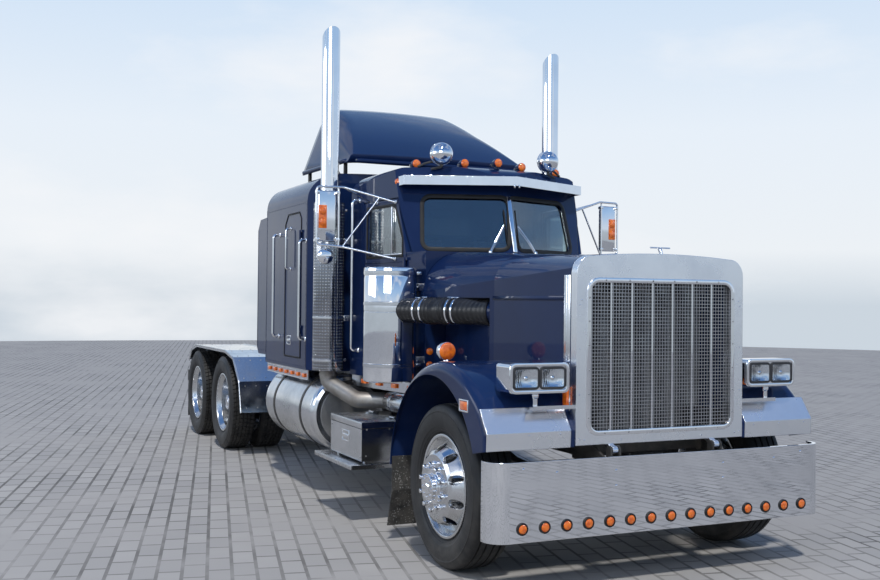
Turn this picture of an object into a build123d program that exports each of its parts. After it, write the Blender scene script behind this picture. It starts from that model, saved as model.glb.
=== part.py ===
from build123d import *
import os
from math import atan2, cos, hypot, radians, sin

# A bonneted semi truck tractor with a sleeper cab, twin stacks and a tandem rear axle.
# Sizes are millimetres. X runs forward, Y to the truck's left and Z up from the road.
# Stations along the truck are counted from the front axle, and moved to the middle at export.

# Clearances
panel_gap = 8.0
joint_gap = 6.0
pin_clearance = 0.3
seat_gap = 0.3
cut_past = 1.0
join_depth = 4.0

# Barrel hinges of doors and lids
hinge_stand = 14.0
hinge_length = 100.0
hinge_lug = 22.0
hinge_barrel = 9.0
hinge_pin = 5.0
hinge_reach = 40.0

# Wheels
wheelbase = 6480.0
tandem_spacing = 1370.0
tyre_radius = 515.0
tyre_width = 283.0
tyre_crown = 60.0
tyre_shoulder = (22.0, 14.0)
tyre_wall_top = 70.0
tyre_wall_foot = 76.0
tyre_bead_rise = 22.0
rim_radius = 324.0
bead_radius = 311.0
barrel_radius = 290.0
rim_width = 234.0
rim_wall = 12.0
rim_ledge = 32.0
rim_well = 50.0
disc_wall = 20.0
disc_knee_radius = 200.0
disc_slope_radius = 225.0
disc_root = (30.0, 62.0)
disc_dish = 16.0
wheel_offset = 168.0
hub_radius = 110.0
hub_cap_radius = 78.0
hub_overlap = 30.0
front_hub_stand = 18.0
front_cap_stand = 58.0
front_cap_edge = 12.0
front_hub_hollow = (20.0, 76.0)
front_bearing_y = -10.0
rear_cap_stand = 66.0
rear_cap_step = 50.0
rear_hub_step = 60.0
hand_holes = 10
hand_hole_radius = 30.0
hand_hole_pitch = 236.0
front_wheel_y = 1030.0
rear_wheel_y = 1084.0
drum_radius = 205.0
drum_wall = 20.0
front_drum_edge = 40.0
front_drum_face = 60.0
rear_drum_edge = 30.0
rear_drum_reach = 70.0
drive_front_x = -wheelbase + tandem_spacing / 2
drive_rear_x = -wheelbase - tandem_spacing / 2
dual_middle_y = rear_wheel_y - wheel_offset - disc_wall / 2
inner_wheel_y = 2 * dual_middle_y - rear_wheel_y

# Frame
rail_half = 432.0
rail_top = 1020.0
rail_depth = 270.0
rail_flange = 90.0
rail_wall = 8.0
rail_front_x = 550.0
tail_gap = 10.0
rail_rear_x = drive_rear_x - tyre_radius - tail_gap
rail_bottom = rail_top - rail_depth
cross_depth = 170.0
cross_width = 110.0
cross_stations = (-2620.0, -3900.0, -5150.0, drive_front_x + 330.0, -wheelbase, drive_rear_x - 300.0)
front_cross_long = 120.0
front_cross_high = 90.0
mount_stations = ((-1300.0, -2250.0), (-2850.0, -4050.0))
mount_half_long = 60.0

# Front horns and the hood's hinge
horn_wall = 14.0
horn_run = 160.0
horn_drop = 40.0
horn_shoulder = (60.0, 120.0)
horn_low_z = 600.0
horn_foot = (110.0, 75.0)
horn_neck = (20.0, 18.0)
horn_head_drop = 38.0
bumper_beam_long = 90.0
bumper_beam_z = (690.0, 745.0)
hinge_x = 740.0
hinge_z = 800.0
hinge_pin_radius = 12.0
hinge_lug_radius = 24.0
hinge_lug_y = (358.0, 394.0)
hinge_ear_wall = 12.0
hinge_ear_half = 26.0
hinge_ear_low = 740.0

# Front axle, as heights above the wheel centre
axle_half_wide = 48.0
axle_end = 20.0
axle_half_high = 35.0
axle_bow = (120.0, 220.0)
axle_bow_depth = 120.0
axle_bow_top = 45.0
axle_bow_lag = 10.0
front_spring_y = (385.0, 470.0)
front_spring_line = ((-110.0, -45.0), (110.0, -45.0), (420.0, 45.0), (600.0, 125.0), (600.0, 161.0), (400.0, 85.0),
                     (0.0, 50.0), (-420.0, 85.0), (-700.0, 161.0), (-700.0, 125.0), (-440.0, 45.0))
front_hanger_line = ((560.0, 125.0), (625.0, 125.0), (625.0, 175.0), (550.0, 235.0), (480.0, 235.0), (500.0, 175.0))
rear_hanger_line = ((-730.0, 115.0), (-670.0, 115.0), (-640.0, 235.0), (-760.0, 235.0))
hanger_inset = 30.0

# Steering
kingpin_y = 840.0
kingpin_radius = 22.0
knuckle_eye_radius = 45.0
knuckle_eye_half = 50.0
knuckle_ear = 56.0
knuckle_ear_radius = 44.0
knuckle_plate = 34.0
front_spindle_radius = 40.0
front_spindle_reach = 70.0
steer_arm = 220.0
steer_arm_half = 22.0
steer_arm_high = 34.0
tie_rod_z = 352.0
tie_rod_radius = 16.0
tie_rod_eye_radius = 28.0
tie_rod_eye_half = 18.0
ball_radius = 12.0
ball_drop = 22.0

# Drive axles
axle_tube_radius = 68.0
axle_tube_half = 560.0
bowl_radius = 195.0
bowl_reach = (-180.0, 200.0)
nose_radius = 60.0
nose_reach = (-290.0, 320.0)
shaft_z = 640.0
shaft_radius = 50.0
shaft_front_x = -2150.0
rear_spindle_radius = 45.0
drive_beam_y = 430.0
drive_beam_half = 40.0
drive_beam_line = ((-480.0, 45.0), (420.0, 55.0), (560.0, 125.0), (560.0, 175.0), (480.0, 175.0), (400.0, 115.0), (-480.0, 95.0))
air_spring_x = -390.0
air_spring_radius = 78.0
air_spring_low = 600.0
beam_hanger_x = (490.0, 540.0)
beam_hanger_half = 30.0
beam_hanger_low = 680.0

# Engine, gearbox and radiator
engine_x = (-1050.0, 330.0)
engine_half = 330.0
engine_z = (700.0, 1600.0)
gearbox_half = 230.0
gearbox_z = (590.0, 1000.0)
engine_mounts = (-60.0, -860.0)
engine_mount_long = 120.0
engine_mount_z = (800.0, 860.0)
radiator_x = (370.0, 480.0)
radiator_half = 460.0
radiator_low_half = 325.0
radiator_z = (840.0, 1800.0)
radiator_head = 20.0
radiator_head_low = 1740.0

# Bumper
bumper_front_x = 800.0
bumper_half = 1220.0
bumper_bottom = 316.0
bumper_top = 771.0
bumper_wrap_x = 665.0
bumper_corner = 115.0
bumper_wall = 10.0
bumper_lip = 22.0
bumper_lamps = 15
bumper_lamp_reach = 1026.0
bumper_lamp_z = 395.0
bumper_lamp_radius = 26.0
bumper_lamp_stand = 14.0

# Grille surround and screen
surround_front_x = 708.0
surround_back_x = 645.0
surround_half = 620.0
surround_bottom = 832.0
surround_shoulder = 1850.0
surround_top = 1978.0
surround_bend = (30.0, 74.0)
surround_crown = (110.0, 22.0)
grille_half = 525.0
grille_bottom = 910.0
grille_top = 1800.0
grille_corner = 50.0
screen_wall = 6.0
screen_setback = 14.0
grille_bars = 6
bar_width = 14.0
bar_stand = 10.0
bar_end = 5.0

# Hood
hood_mid_x = -280.0
hood_rear_x = -1150.0
hood_mid_half = 650.0
hood_rear_half = 790.0
hood_bottom = 985.0
hood_skin = 10.0
hood_front_side = 1880.0
hood_front_crown = 1962.0
hood_mid_side = 1822.0
hood_mid_crown = 2005.0
hood_rear_side = 1745.0
hood_rear_crown = 2048.0
hood_flat_share = 0.62
hood_knee_share = 0.9
recess_half = 600.0
recess_top = 1700.0
recess_front_x = -330.0

# Front fenders, guards and flaps
fender_inner = 620.0
fender_outer = 1200.0
fender_skin = 8.0
fender_roll = 62.0
fender_centre = (18.8, 456.5)
fender_radius = 841.2
fender_slope = (609.0, 1056.0)
fender_band = (700.0, 923.0)
fender_low = (696.0, 824.0)
fender_tail = (-775.0, 540.0)
fender_tail_angle = 158.0
fender_skirt_low = 990.0
arch_centre = (-96.7, 551.0)
arch_radius = 656.0
arch_sides = (24.0, 36.0)
arch_straight = 120.0
guard_wall = 4.0
guard_inner = 650.0
guard_overhang = 6.0
flap_join = 60.0
flap_bend_z = 365.0
flap_low = 106.0
flap_wall = 10.0
flap_rake = 80.0
flap_y = (800.0, 1185.0)

# Headlamps and fender lamps
headlamp_y = 862.0
headlamp_z = 1234.0
headlamp_wide = 402.0
headlamp_high = 172.0
headlamp_front_x = 694.0
headlamp_deep = 170.0
headlamp_corner = 24.0
headlamp_back_corner = 20.0
headlamp_post_back = 50.0
headlamp_post_radius = 16.0
headlamp_ball_radius = 24.0
headlamp_ball_drop = 18.0
headlamp_arm_z = (1050.0, 1072.0)
headlamp_arm_reach = 40.0
headlamp_arm_edge = 8.0
turn_lamp = (-290.0, 1000.0, 1346.0)
turn_lamp_radius = 58.0
turn_lamp_deep = 46.0
turn_lamp_post = 12.0

# Cab
cab_front_x = -1160.0
cab_rear_x = -2420.0
cab_front_half = 765.0
cab_rear_half = 900.0
cab_floor = 1050.0
cab_wall = 42.0
cab_belt = 2050.0
cab_side_top = 2540.0
cab_crown = 2745.0
cab_shoulder = 170.0
cab_knee = (46.0, 34.0)
cab_crown_drop = 16.0
cab_brow = (90.0, 50.0, 300.0)
glass_low_x = -1178.0
glass_high_x = -1300.0
glass_low_z = cab_belt + 14.0
glass_high_z = cab_side_top - 29.0
glass_sweep = 260.0
glass_outer_y = 700.0
glass_centre_bar = 34.0
glass_margin = 22.0
glass_corner = 60.0
glass_wall = 6.0
glass_depth_share = 0.35
header_z = cab_side_top + 20.0
door_front_x = -1455.0
door_rear_x = -2190.0
door_bottom = 1090.0
door_top = cab_side_top - 55.0
door_slant_x = -1600.0
window_margin = 75.0
window_low = cab_belt - 15.0
window_top = cab_side_top - 118.0
window_slant = 20.0
window_corner_rise = 110.0
cab_hinge_z = (1300.0, 1960.0)
pass_half = 420.0
pass_low = 1200.0
pass_high = 2250.0

# Sun visor and roof lamps
visor_half = 805.0
visor_tip_x = -1543.0
visor_centre_x = -1150.0
visor_z = (cab_side_top + 38.0, cab_side_top + 110.0)
visor_tip_deep = 40.0
visor_back = (120.0, 280.0)
visor_wall = 8.0
roof_lamps = ((-1455.0, 0.0, cab_crown + 47.0), (-1534.0, 261.0, cab_crown + 37.0), (-1534.0, -261.0, cab_crown + 37.0),
              (-1632.0, 640.0, cab_crown + 20.0), (-1632.0, -640.0, cab_crown + 20.0))
roof_lamp_long = 60.0
roof_lamp_radius = 34.0
roof_lamp_post = 18.0
roof_lamp_post_back = 40.0
spot_lamp = (-1506.0, 484.0, cab_crown + 92.0)
spot_radius = 92.0
spot_post = 14.0

# Cab interior
dash_half = 640.0
dash_low = 1500.0
dash_line = ((-1300.0, cab_belt - cab_wall - seat_gap), (-1440.0, cab_belt - 150.0), (-1420.0, 1560.0), (-1350.0, 1500.0))
steering_tilt = 50.0
steering_hub = (-1640.0, 400.0, 1800.0)
steering_radius = 225.0
steering_grip = 15.0
steering_spoke = 11.0
steering_spoke_root = 30.0
steering_spokes = (90.0, 210.0, 330.0)
steering_boss = 40.0
steering_boss_top = 12.0
steering_shaft = 10.0
shaft_end = 20.0
column_radius = 32.0
column_end = 70.0
column_foot = 340.0
seat_y = 400.0
seat_half = 240.0
seat_x = (-2230.0, -1830.0)
seat_z = (1430.0, 1560.0)
seat_back_line = ((-2230.0, 0.0), (-2120.0, 0.0), (-2200.0, 640.0), (-2300.0, 640.0))
seat_base_half = 160.0
seat_base_inset = 50.0
bunk_long = 880.0
bunk_side_gap = 40.0
bunk_back_gap = 20.0
bunk_z = (1500.0, 1660.0)

# Sleeper
sleeper_front_x = -2660.0
sleeper_rear_x = -4190.0
sleeper_half = 1150.0
sleeper_floor = 1060.0
sleeper_side_top = 2560.0
sleeper_crown = 2800.0
sleeper_shoulder = 230.0
sleeper_knee = (62.0, 0.64)
sleeper_crown_drop = 20.0
sleeper_wall = 40.0
sleeper_corner = 205.0
berth_door_x = (-3545.0, -3030.0)
berth_door_z = (1150.0, 2470.0)
berth_corner = 90.0
berth_front_corner = 60.0
berth_hinge_z = (1400.0, 2250.0)
extender_rear_x = -4750.0
extender_wall = 25.0
extender_inset = 60.0
extender_low = 1120.0
extender_high = 2520.0
extender_top_cut = (90.0, 20.0, 120.0)
extender_low_cut = 60.0
boot_half = 560.0
boot_wall = 60.0
boot_low = 1100.0
boot_high = 2360.0

# Roof deflector
deflector_front_x = -2600.0
deflector_mid_x = -3232.0
deflector_rear_x = -3750.0
deflector_base = 2880.0
deflector_lip = 70.0
deflector_mid_rise = 440.0
deflector_height = 3550.0
deflector_front_half = 880.0
deflector_mid_half = 900.0
deflector_rear_half = 930.0
deflector_front_top = 850.0
deflector_mid_top = 790.0
deflector_top_half = 700.0
deflector_shoulder = 200.0
deflector_shoulder_share = 0.45
deflector_knee_share = 0.29
deflector_skin = 14.0
strut_half = 20.0
strut_inset = 40.0
strut_low = 2600.0
strut_stations = (-2760.0, -3630.0)

# Air cleaners and intakes
cleaner_x = -1280.0
cleaner_y = 1000.0
cleaner_radius = 200.0
cleaner_low = 1070.0
cleaner_high = 1930.0
cleaner_edge = 18.0
cleaner_brackets = (1200.0, 1750.0)
cleaner_bracket_high = 60.0
intake_z = 1605.0
intake_radius = 90.0
intake_start = (150.0, 40.0)
intake_end = (-50.0, -40.0)
intake_split = 0.56

# Exhaust stacks
stack_x = -2480.0
stack_y = 1078.0
stack_pipe_radius = 76.0
stack_top = 3980.0
stack_cut_angle = 42.0
stack_cut_drop = 60.0
shield_radius = 132.0
shield_low = 1085.0
shield_high = 2500.0
elbow_radius = 68.0
elbow_bend = 90.0
elbow_knee_z = 985.0
elbow_low_z = 850.0
elbow_run = ((260.0, 170.0), (400.0, 420.0))
stack_brackets = (1500.0, 2150.0)
stack_bracket_high = 50.0
stack_bracket_half = 30.0
stack_bracket_inner = 860.0

# Tanks
tank_front_x = -2530.0
tank_rear_x = -4050.0
tank_radius = 330.0
tank_y = 866.0
tank_z = 700.0
tank_end = 40.0
tank_bracket_inset = 350.0
tank_bracket_half = 45.0
tank_bracket_z = (640.0, 920.0)
air_tank_x = (-1760.0, -1120.0)
air_tank_y = 800.0
air_tank_z = 880.0
air_tank_radius = 75.0
air_tank_end = 30.0
air_tank_bracket = 40.0
air_tank_bracket_half = 20.0
air_tank_bracket_inset = 120.0

# Step boxes
box_x = (-2020.0, -1320.0)
box_z = (480.0, 770.0)
box_outer = 1200.0
box_wall = 8.0
box_slope = (860.0, 640.0)
lid_drop = 46.0
lid_overhang = 4.0
lid_hinge_y = 900.0
lid_hinge_inset = 130.0
step_x = (-2200.0, -1330.0)
step_z = (420.0, 452.0)
step_y = (760.0, 1275.0)
step_post_inset = 60.0
step_post_half = 20.0
step_post_y = (880.0, 1160.0)

# Skirts and grab bars
skirt_wall = 12.0
skirt_high = 90.0
skirt_inset = 20.0
cab_skirt_front = 180.0
grab_bars = ((-2270.0, 1260.0, 2510.0), (-2890.0, 1330.0, 2200.0), (-3720.0, 1330.0, 2290.0))
grab_radius = 13.0
grab_stand = 62.0
grab_bend = 30.0

# Mirrors
mirror_x = -1860.0
mirror_y = 1320.0
mirror_deep = (40.0, 20.0)
mirror_half_wide = 90.0
mirror_z = (2130.0, 2540.0)
mirror_corner = 14.0
mirror_arms = ((2580.0, 2450.0), (2085.0, 2005.0))
mirror_arm_radius = 9.0
mirror_foot_x = -1640.0
mirror_foot_half = 35.0
mirror_foot_wall = 12.0
mirror_foot_high = 14.0

# Rear fenders, deck and tail
rear_fender_line = ((drive_front_x + 845.0, 476.0), (drive_front_x + 750.0, 800.0), (drive_front_x + 465.0, 1045.0),
                    (drive_front_x + 95.0, 1104.0), (drive_rear_x - 75.0, 1104.0), (drive_rear_x - 375.0, 1045.0),
                    (drive_rear_x - 535.0, 900.0))
rear_fender_y = (600.0, 1205.0)
rear_fender_wall = 6.0
rear_fender_lip = 28.0
rear_fender_posts = ((drive_front_x + 545.0, 880.0, 955.0), (-wheelbase, 935.0, 1100.0), (drive_rear_x - 330.0, 935.0, 1048.0))
rear_fender_post = 40.0
rear_fender_post_y = 680.0
deck_x = (drive_front_x + 345.0, sleeper_rear_x - 60.0)
deck_wall = 8.0
tail_deep = 70.0
tail_x = (rail_rear_x - tail_deep, rail_rear_x)
tail_z = (620.0, 760.0)
tail_half = 1205.0
mud_flap_low = 170.0
mud_flap_wall = 12.0
mud_flap_inset = 20.0
mud_flap_y = (610.0, 1200.0)

# Fifth wheel
fifth_ahead = 180.0
fifth_x = fifth_ahead - wheelbase
fifth_pivot_z = 1130.0
fifth_top = 1240.0
fifth_plate = 44.0
fifth_half_long = 450.0
fifth_half_wide = 455.0
fifth_front_corner = (200.0, 160.0)
fifth_rear_corner = 150.0
fifth_horn = 120.0
kingpin_bore = 25.7
throat_half = 190.0
throat_end = (70.0, 30.0)
fifth_pin_radius = 26.0
fifth_pin_reach = 50.0
fifth_ear_y = (330.0, 400.0)
fifth_ear_foot = 150.0
fifth_ear_head = 48.0
fifth_base_half = 330.0
fifth_base_wall = 14.0
plate_ear_wall = 36.0
plate_ear_root = 70.0
plate_ear_head = 46.0

# Everything moves by this much at export, so that X is counted from the middle of the truck.
row_shift = -(bumper_front_x + tail_x[0]) / 2

parts = {}


def box(x0, x1, y0, y1, z0, z1):
    middle = Pos((x0 + x1) / 2, (y0 + y1) / 2, (z0 + z1) / 2)
    return middle * Box(abs(x1 - x0), abs(y1 - y0), abs(z1 - z0))


def rod_x(x0, x1, y, z, radius):
    return Pos((x0 + x1) / 2, y, z) * Rot(0, 90, 0) * Cylinder(radius, abs(x1 - x0))


def rod_y(x, y0, y1, z, radius):
    return Pos(x, (y0 + y1) / 2, z) * Rot(90, 0, 0) * Cylinder(radius, abs(y1 - y0))


def rod_z(x, y, z0, z1, radius):
    return Pos(x, y, (z0 + z1) / 2) * Cylinder(radius, abs(z1 - z0))


def rod_between(start, end, radius):
    """A straight round rod from one point to another."""
    run = Vector(*end) - Vector(*start)
    plane = Plane(origin=start, z_dir=run)
    return extrude(plane * Circle(radius), amount=run.length)


def bent_rod(points, radius, bend):
    """A round rod along straight runs with bends of one radius."""
    path = FilletPolyline(*points, radius=bend)
    start = Plane(origin=path @ 0, z_dir=path % 0)
    return sweep(start * Circle(radius), path=path)


def plane_across(axis, at):
    if axis == "x":
        return Plane(origin=(at, 0, 0), x_dir=(0, 1, 0), z_dir=(1, 0, 0))
    if axis == "y":
        return Plane(origin=(0, at, 0), x_dir=(1, 0, 0), z_dir=(0, -1, 0))
    return Plane(origin=(0, 0, at))


def outline_wire(plane, steps):
    """A closed wire. A step is an end point, or a middle and an end point of a round stretch."""
    edges = []
    here = steps[0][-2:]
    for step in steps[1:] + (steps[0][-2:],):
        there = step[-2:]
        points = [plane.from_local_coords((a, b, 0)) for a, b in (here, step[:2], there)]
        if len(step) == 4:
            edges.append(Edge.make_three_point_arc(*points))
        else:
            edges.append(Edge.make_line(points[0], points[2]))
        here = there
    return Wire(edges)


def slab(axis, low, high, *steps):
    """A slab between two stations on an axis, with its outline in the other two."""
    face = Face(outline_wire(plane_across(axis, low), tuple(steps)))
    direction = {"x": (1, 0, 0), "y": (0, 1, 0), "z": (0, 0, 1)}[axis]
    return extrude(face, amount=high - low, dir=direction)


def moved(points, a, b):
    return tuple((point[0] + a, point[1] + b) for point in points)


def band(points, wall):
    """The outline of a bent sheet: the given line and the same line moved to its right by the wall."""
    inner = []
    last = len(points) - 1
    for index, (a, b) in enumerate(points):
        before = points[max(index - 1, 0)]
        after = points[min(index + 1, last)]
        angles = []
        if index > 0:
            angles.append(atan2(b - before[1], a - before[0]))
        if index < last:
            angles.append(atan2(after[1] - b, after[0] - a))
        mean = atan2(sum(sin(angle) for angle in angles), sum(cos(angle) for angle in angles))
        reach = wall / cos(angles[0] - mean)
        inner.append((a + reach * sin(mean), b - reach * cos(mean)))
    return tuple(points) + tuple(reversed(inner))


def mirrored(shape):
    return mirror(shape, about=Plane.XZ)


def both(shape):
    return [shape, mirrored(shape)]


def largest(shape):
    return shape.solids().sort_by(SortBy.VOLUME)[-1]


def turned(steps):
    """A round solid about Y from an outline of radius and place along Y."""
    face = Face(outline_wire(Plane.XY, tuple(steps)))
    return revolve(face, axis=Axis.Y, revolution_arc=360)


def round_ends(rod, radius):
    return fillet(rod.edges().filter_by(GeomType.CIRCLE), radius)


def on_circle(centre, radius, angle):
    return centre[0] + radius * cos(angle), centre[1] + radius * sin(angle)


def hinge(axis, point, out, fixed_way, moving_way):
    """A barrel hinge: the lugs with their pin, which stay, and the sleeve that moves.

    out points away from the panels, and the two ways point along them from the pin."""
    along = {"x": Vector(1, 0, 0), "z": Vector(0, 0, 1)}[axis]
    centre = Vector(*point) + Vector(*out) * hinge_stand
    half = hinge_length / 2
    sleeve_half = half - hinge_lug
    lug_end = sleeve_half + pin_clearance

    def strap(low, high, way):
        corner = centre + along * low
        other = centre + along * high + Vector(*way) * hinge_reach - Vector(*out) * (hinge_stand + join_depth)
        return box(corner.X, other.X, corner.Y, other.Y, corner.Z, other.Z)

    def barrel(low, high, radius):
        return rod_between(tuple(centre + along * low), tuple(centre + along * high), radius)

    fixed = barrel(-half, half, hinge_pin)
    for low, high in ((-half, -lug_end), (lug_end, half)):
        fixed += barrel(low, high, hinge_barrel) + strap(low, high, fixed_way)
    moving = barrel(-sleeve_half, sleeve_half, hinge_barrel) + strap(-sleeve_half, sleeve_half, moving_way)
    moving -= barrel(-half, half, hinge_pin + pin_clearance)
    return fixed, moving


def add(name, *solids):
    parts.setdefault(name, []).extend(solids)


def make_frame():
    wall = rail_wall
    web = rail_half - wall
    rail = box(rail_rear_x, rail_front_x, rail_half - rail_flange, rail_half, rail_bottom, rail_top)
    rail -= box(rail_rear_x, rail_front_x, rail_half - rail_flange, web, rail_bottom + wall, rail_top - wall)
    frame = rail + mirrored(rail)
    inner = rail_half - wall / 2
    cross_top = rail_top - 2 * wall
    for x in cross_stations:
        frame += box(x - cross_width / 2, x + cross_width / 2, -inner, inner, cross_top - cross_depth, cross_top)
    frame += box(rail_front_x - front_cross_long, rail_front_x, -inner, inner, rail_bottom, rail_bottom + front_cross_high)
    for floor, stations in zip((cab_floor, sleeper_floor), mount_stations):
        for x in stations:
            mount = box(x - mount_half_long, x + mount_half_long, rail_half - rail_flange, web, rail_top - wall / 2,
                        floor - seat_gap)
            frame += mount + mirrored(mount)
    horn_back = rail_front_x - horn_run
    horn_front = bumper_front_x - bumper_wall
    horn = slab("y", inner, rail_half + horn_wall, (horn_back, rail_bottom - horn_drop), (horn_back, rail_top - horn_shoulder[0]),
                (rail_front_x, rail_top - horn_shoulder[1]), (surround_back_x - horn_neck[0], surround_bottom - horn_neck[1]),
                (horn_front, bumper_top - horn_head_drop), (horn_front, horn_low_z), (rail_front_x + horn_foot[0], horn_low_z),
                (rail_front_x + horn_foot[1], rail_bottom - horn_drop))
    frame += horn + mirrored(horn)
    frame += box(horn_front - bumper_beam_long, horn_front, -inner, inner, *bumper_beam_z)
    low = hinge_lug_y[0] - joint_gap - hinge_ear_wall
    high = hinge_lug_y[1] + joint_gap
    for face_y in (low, high):
        ear = box(hinge_x - hinge_ear_half, hinge_x + hinge_ear_half, face_y, face_y + hinge_ear_wall, hinge_ear_low, hinge_z)
        ear += rod_y(hinge_x, face_y, face_y + hinge_ear_wall, hinge_z, hinge_ear_half)
        frame += ear + mirrored(ear)
    pin = rod_y(hinge_x, low, high + hinge_ear_wall, hinge_z, hinge_pin_radius)
    frame += pin + mirrored(pin)
    add("frame_rails", frame)


def bumper_plan(inset):
    """The bumper in plan, from its right end round the front to its left end."""
    half = bumper_half - inset
    front = bumper_front_x - inset
    radius = bumper_corner - inset
    turn = radius * (1 - cos(radians(45)))
    return ((bumper_wrap_x, -half), (front - radius, -half), (front - turn, -half + turn, front, -half + radius),
            (front, half - radius), (front - turn, half - turn, front - radius, half), (bumper_wrap_x, half))


def make_bumper():
    def ring(low, high, depth):
        return slab("z", low, high, *bumper_plan(0)) - slab("z", low, high, *bumper_plan(depth))

    plate = ring(bumper_bottom, bumper_top, bumper_wall)
    plate += ring(bumper_bottom, bumper_bottom + bumper_wall, bumper_lip)
    plate += ring(bumper_top - bumper_wall, bumper_top, bumper_lip)
    add("front_bumper", plate)
    pitch = 2 * bumper_lamp_reach / (bumper_lamps - 1)
    for index in range(bumper_lamps):
        y = index * pitch - bumper_lamp_reach
        add("marker_lamps", rod_x(bumper_front_x, bumper_front_x + bumper_lamp_stand, y, bumper_lamp_z, bumper_lamp_radius))


def make_power_train():
    engine = box(*engine_x, -engine_half, engine_half, *engine_z)
    engine += box(shaft_front_x, engine_x[0], -gearbox_half, gearbox_half, *gearbox_z)
    for x in engine_mounts:
        mount = box(x, x + engine_mount_long, engine_half, rail_half - rail_wall, *engine_mount_z)
        engine += mount + mirrored(mount)
    add("engine_block", engine)
    back, front = radiator_x
    low, high = radiator_z
    core = box(back, front, -radiator_low_half, radiator_low_half, low, rail_top)
    core += box(back, front, -radiator_half, radiator_half, rail_top, high)
    head_half = radiator_half + radiator_head
    core += box(back - radiator_head, front + radiator_head, -head_half, head_half, radiator_head_low, high)
    add("radiator", core)


def make_front_axle():
    z = tyre_radius
    half = kingpin_y - axle_end
    knee, bow = axle_bow
    lag = axle_bow_lag
    side = ((half - bow, z - axle_bow_depth), (half - knee, z - axle_half_high), (half, z - axle_half_high),
            (half, z + axle_half_high), (half - knee - lag, z + axle_half_high), (half - bow - lag, z - axle_bow_top))
    beam = slab("x", -axle_half_wide, axle_half_wide, *side, *tuple((-y, h) for y, h in reversed(side)))
    eye = knuckle_eye_half
    pin_half = eye + knuckle_ear + joint_gap
    boss = rod_z(0, kingpin_y, z - eye, z + eye, knuckle_eye_radius)
    boss += rod_z(0, kingpin_y, z - pin_half, z + pin_half, kingpin_radius)
    add("front_axle", beam + boss + mirrored(boss))
    low, high = front_spring_y
    spring = slab("y", low, high, *moved(front_spring_line, 0, z))
    spring += slab("y", low, rail_half - rail_wall, *moved(front_hanger_line, 0, z))
    spring += slab("y", low, high - hanger_inset, *moved(rear_hanger_line, 0, z))
    add("front_axle", *both(spring))


def make_knuckles():
    z = tyre_radius
    eye = knuckle_eye_half + joint_gap
    reach = eye + knuckle_ear
    plate_y = kingpin_y + knuckle_eye_radius + joint_gap
    half = knuckle_ear_radius
    knuckle = box(-half, half, plate_y, plate_y + knuckle_plate, z - reach, z + reach)
    for low in (z - reach, z + eye):
        knuckle += rod_z(0, kingpin_y, low, low + knuckle_ear, half)
        knuckle += box(-half, half, kingpin_y, plate_y + join_depth, low, low + knuckle_ear)
    knuckle -= rod_z(0, kingpin_y, z - reach, z + reach, kingpin_radius + pin_clearance)
    knuckle += rod_y(0, plate_y + join_depth, front_wheel_y + front_spindle_reach, z, front_spindle_radius)
    arm_z = z - reach
    knuckle += box(-steer_arm, -kingpin_radius - joint_gap, kingpin_y - steer_arm_half, kingpin_y + steer_arm_half,
                   arm_z, arm_z + steer_arm_high)
    knuckle += rod_z(-steer_arm, kingpin_y, arm_z, arm_z + steer_arm_high, steer_arm_half)
    knuckle += rod_z(-steer_arm, kingpin_y, tie_rod_z - ball_drop, arm_z + join_depth, ball_radius)
    add("knuckle_left", knuckle)
    add("knuckle_right", mirrored(knuckle))
    eye_y = kingpin_y
    rod = rod_y(-steer_arm, -eye_y, eye_y, tie_rod_z, tie_rod_radius)
    for y in (-eye_y, eye_y):
        rod += rod_z(-steer_arm, y, tie_rod_z - tie_rod_eye_half, tie_rod_z + tie_rod_eye_half, tie_rod_eye_radius)
        rod -= rod_z(-steer_arm, y, tie_rod_z - 2 * tie_rod_eye_half, tie_rod_z + 2 * tie_rod_eye_half, ball_radius + pin_clearance)
    add("tie_rod", rod)


def tyre():
    half = tyre_width / 2
    seat = bead_radius + seat_gap
    inner = rim_width / 2 - rim_wall - seat_gap
    outline = ((seat, inner), (rim_radius + join_depth, inner), (rim_radius + tyre_bead_rise, inner + tyre_bead_rise - join_depth),
               (rim_radius + tyre_wall_foot, half), (tyre_radius - tyre_wall_top, half),
               (tyre_radius - tyre_shoulder[0], half - tyre_shoulder[1]), (tyre_radius, half - tyre_crown))
    return turned(outline + tuple((radius, -along) for radius, along in reversed(outline)))


def rim(outboard):
    """A disc wheel about its own middle. The disc bulges to +Y by the wheel offset when outboard is 1."""
    half = rim_width / 2
    outline = ((rim_radius, half), (rim_radius, half - rim_wall), (bead_radius, half - rim_wall),
               (bead_radius, half - rim_ledge), (barrel_radius, half - rim_well))
    outside = outline + tuple((radius, -along) for radius, along in reversed(outline))
    inner = ((bead_radius, half), (barrel_radius, half - rim_ledge), (barrel_radius - rim_wall, half - rim_well))
    solid = turned(outside + tuple((radius, -along) for radius, along in inner) + tuple(reversed(inner)))
    face = wheel_offset + disc_wall / 2
    back = wheel_offset - disc_wall / 2
    dish = disc_dish
    profile = ((barrel_radius - rim_wall / 2, disc_root[0]), (barrel_radius - rim_wall / 2, disc_root[1]),
               (disc_slope_radius, face - dish), (disc_knee_radius, face), (hub_radius - hub_overlap, face),
               (hub_radius - hub_overlap, back), (disc_knee_radius - join_depth, back), (disc_slope_radius - join_depth, back - dish))
    disc = turned(tuple((radius, outboard * along) for radius, along in profile))
    for index in range(hand_holes):
        x, z = on_circle((0, 0), hand_hole_pitch, radians(360 / hand_holes * (index + 0.5)))
        disc -= rod_y(x, 0, outboard * (wheel_offset + disc_root[0]), z, hand_hole_radius)
    return solid + disc


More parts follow.
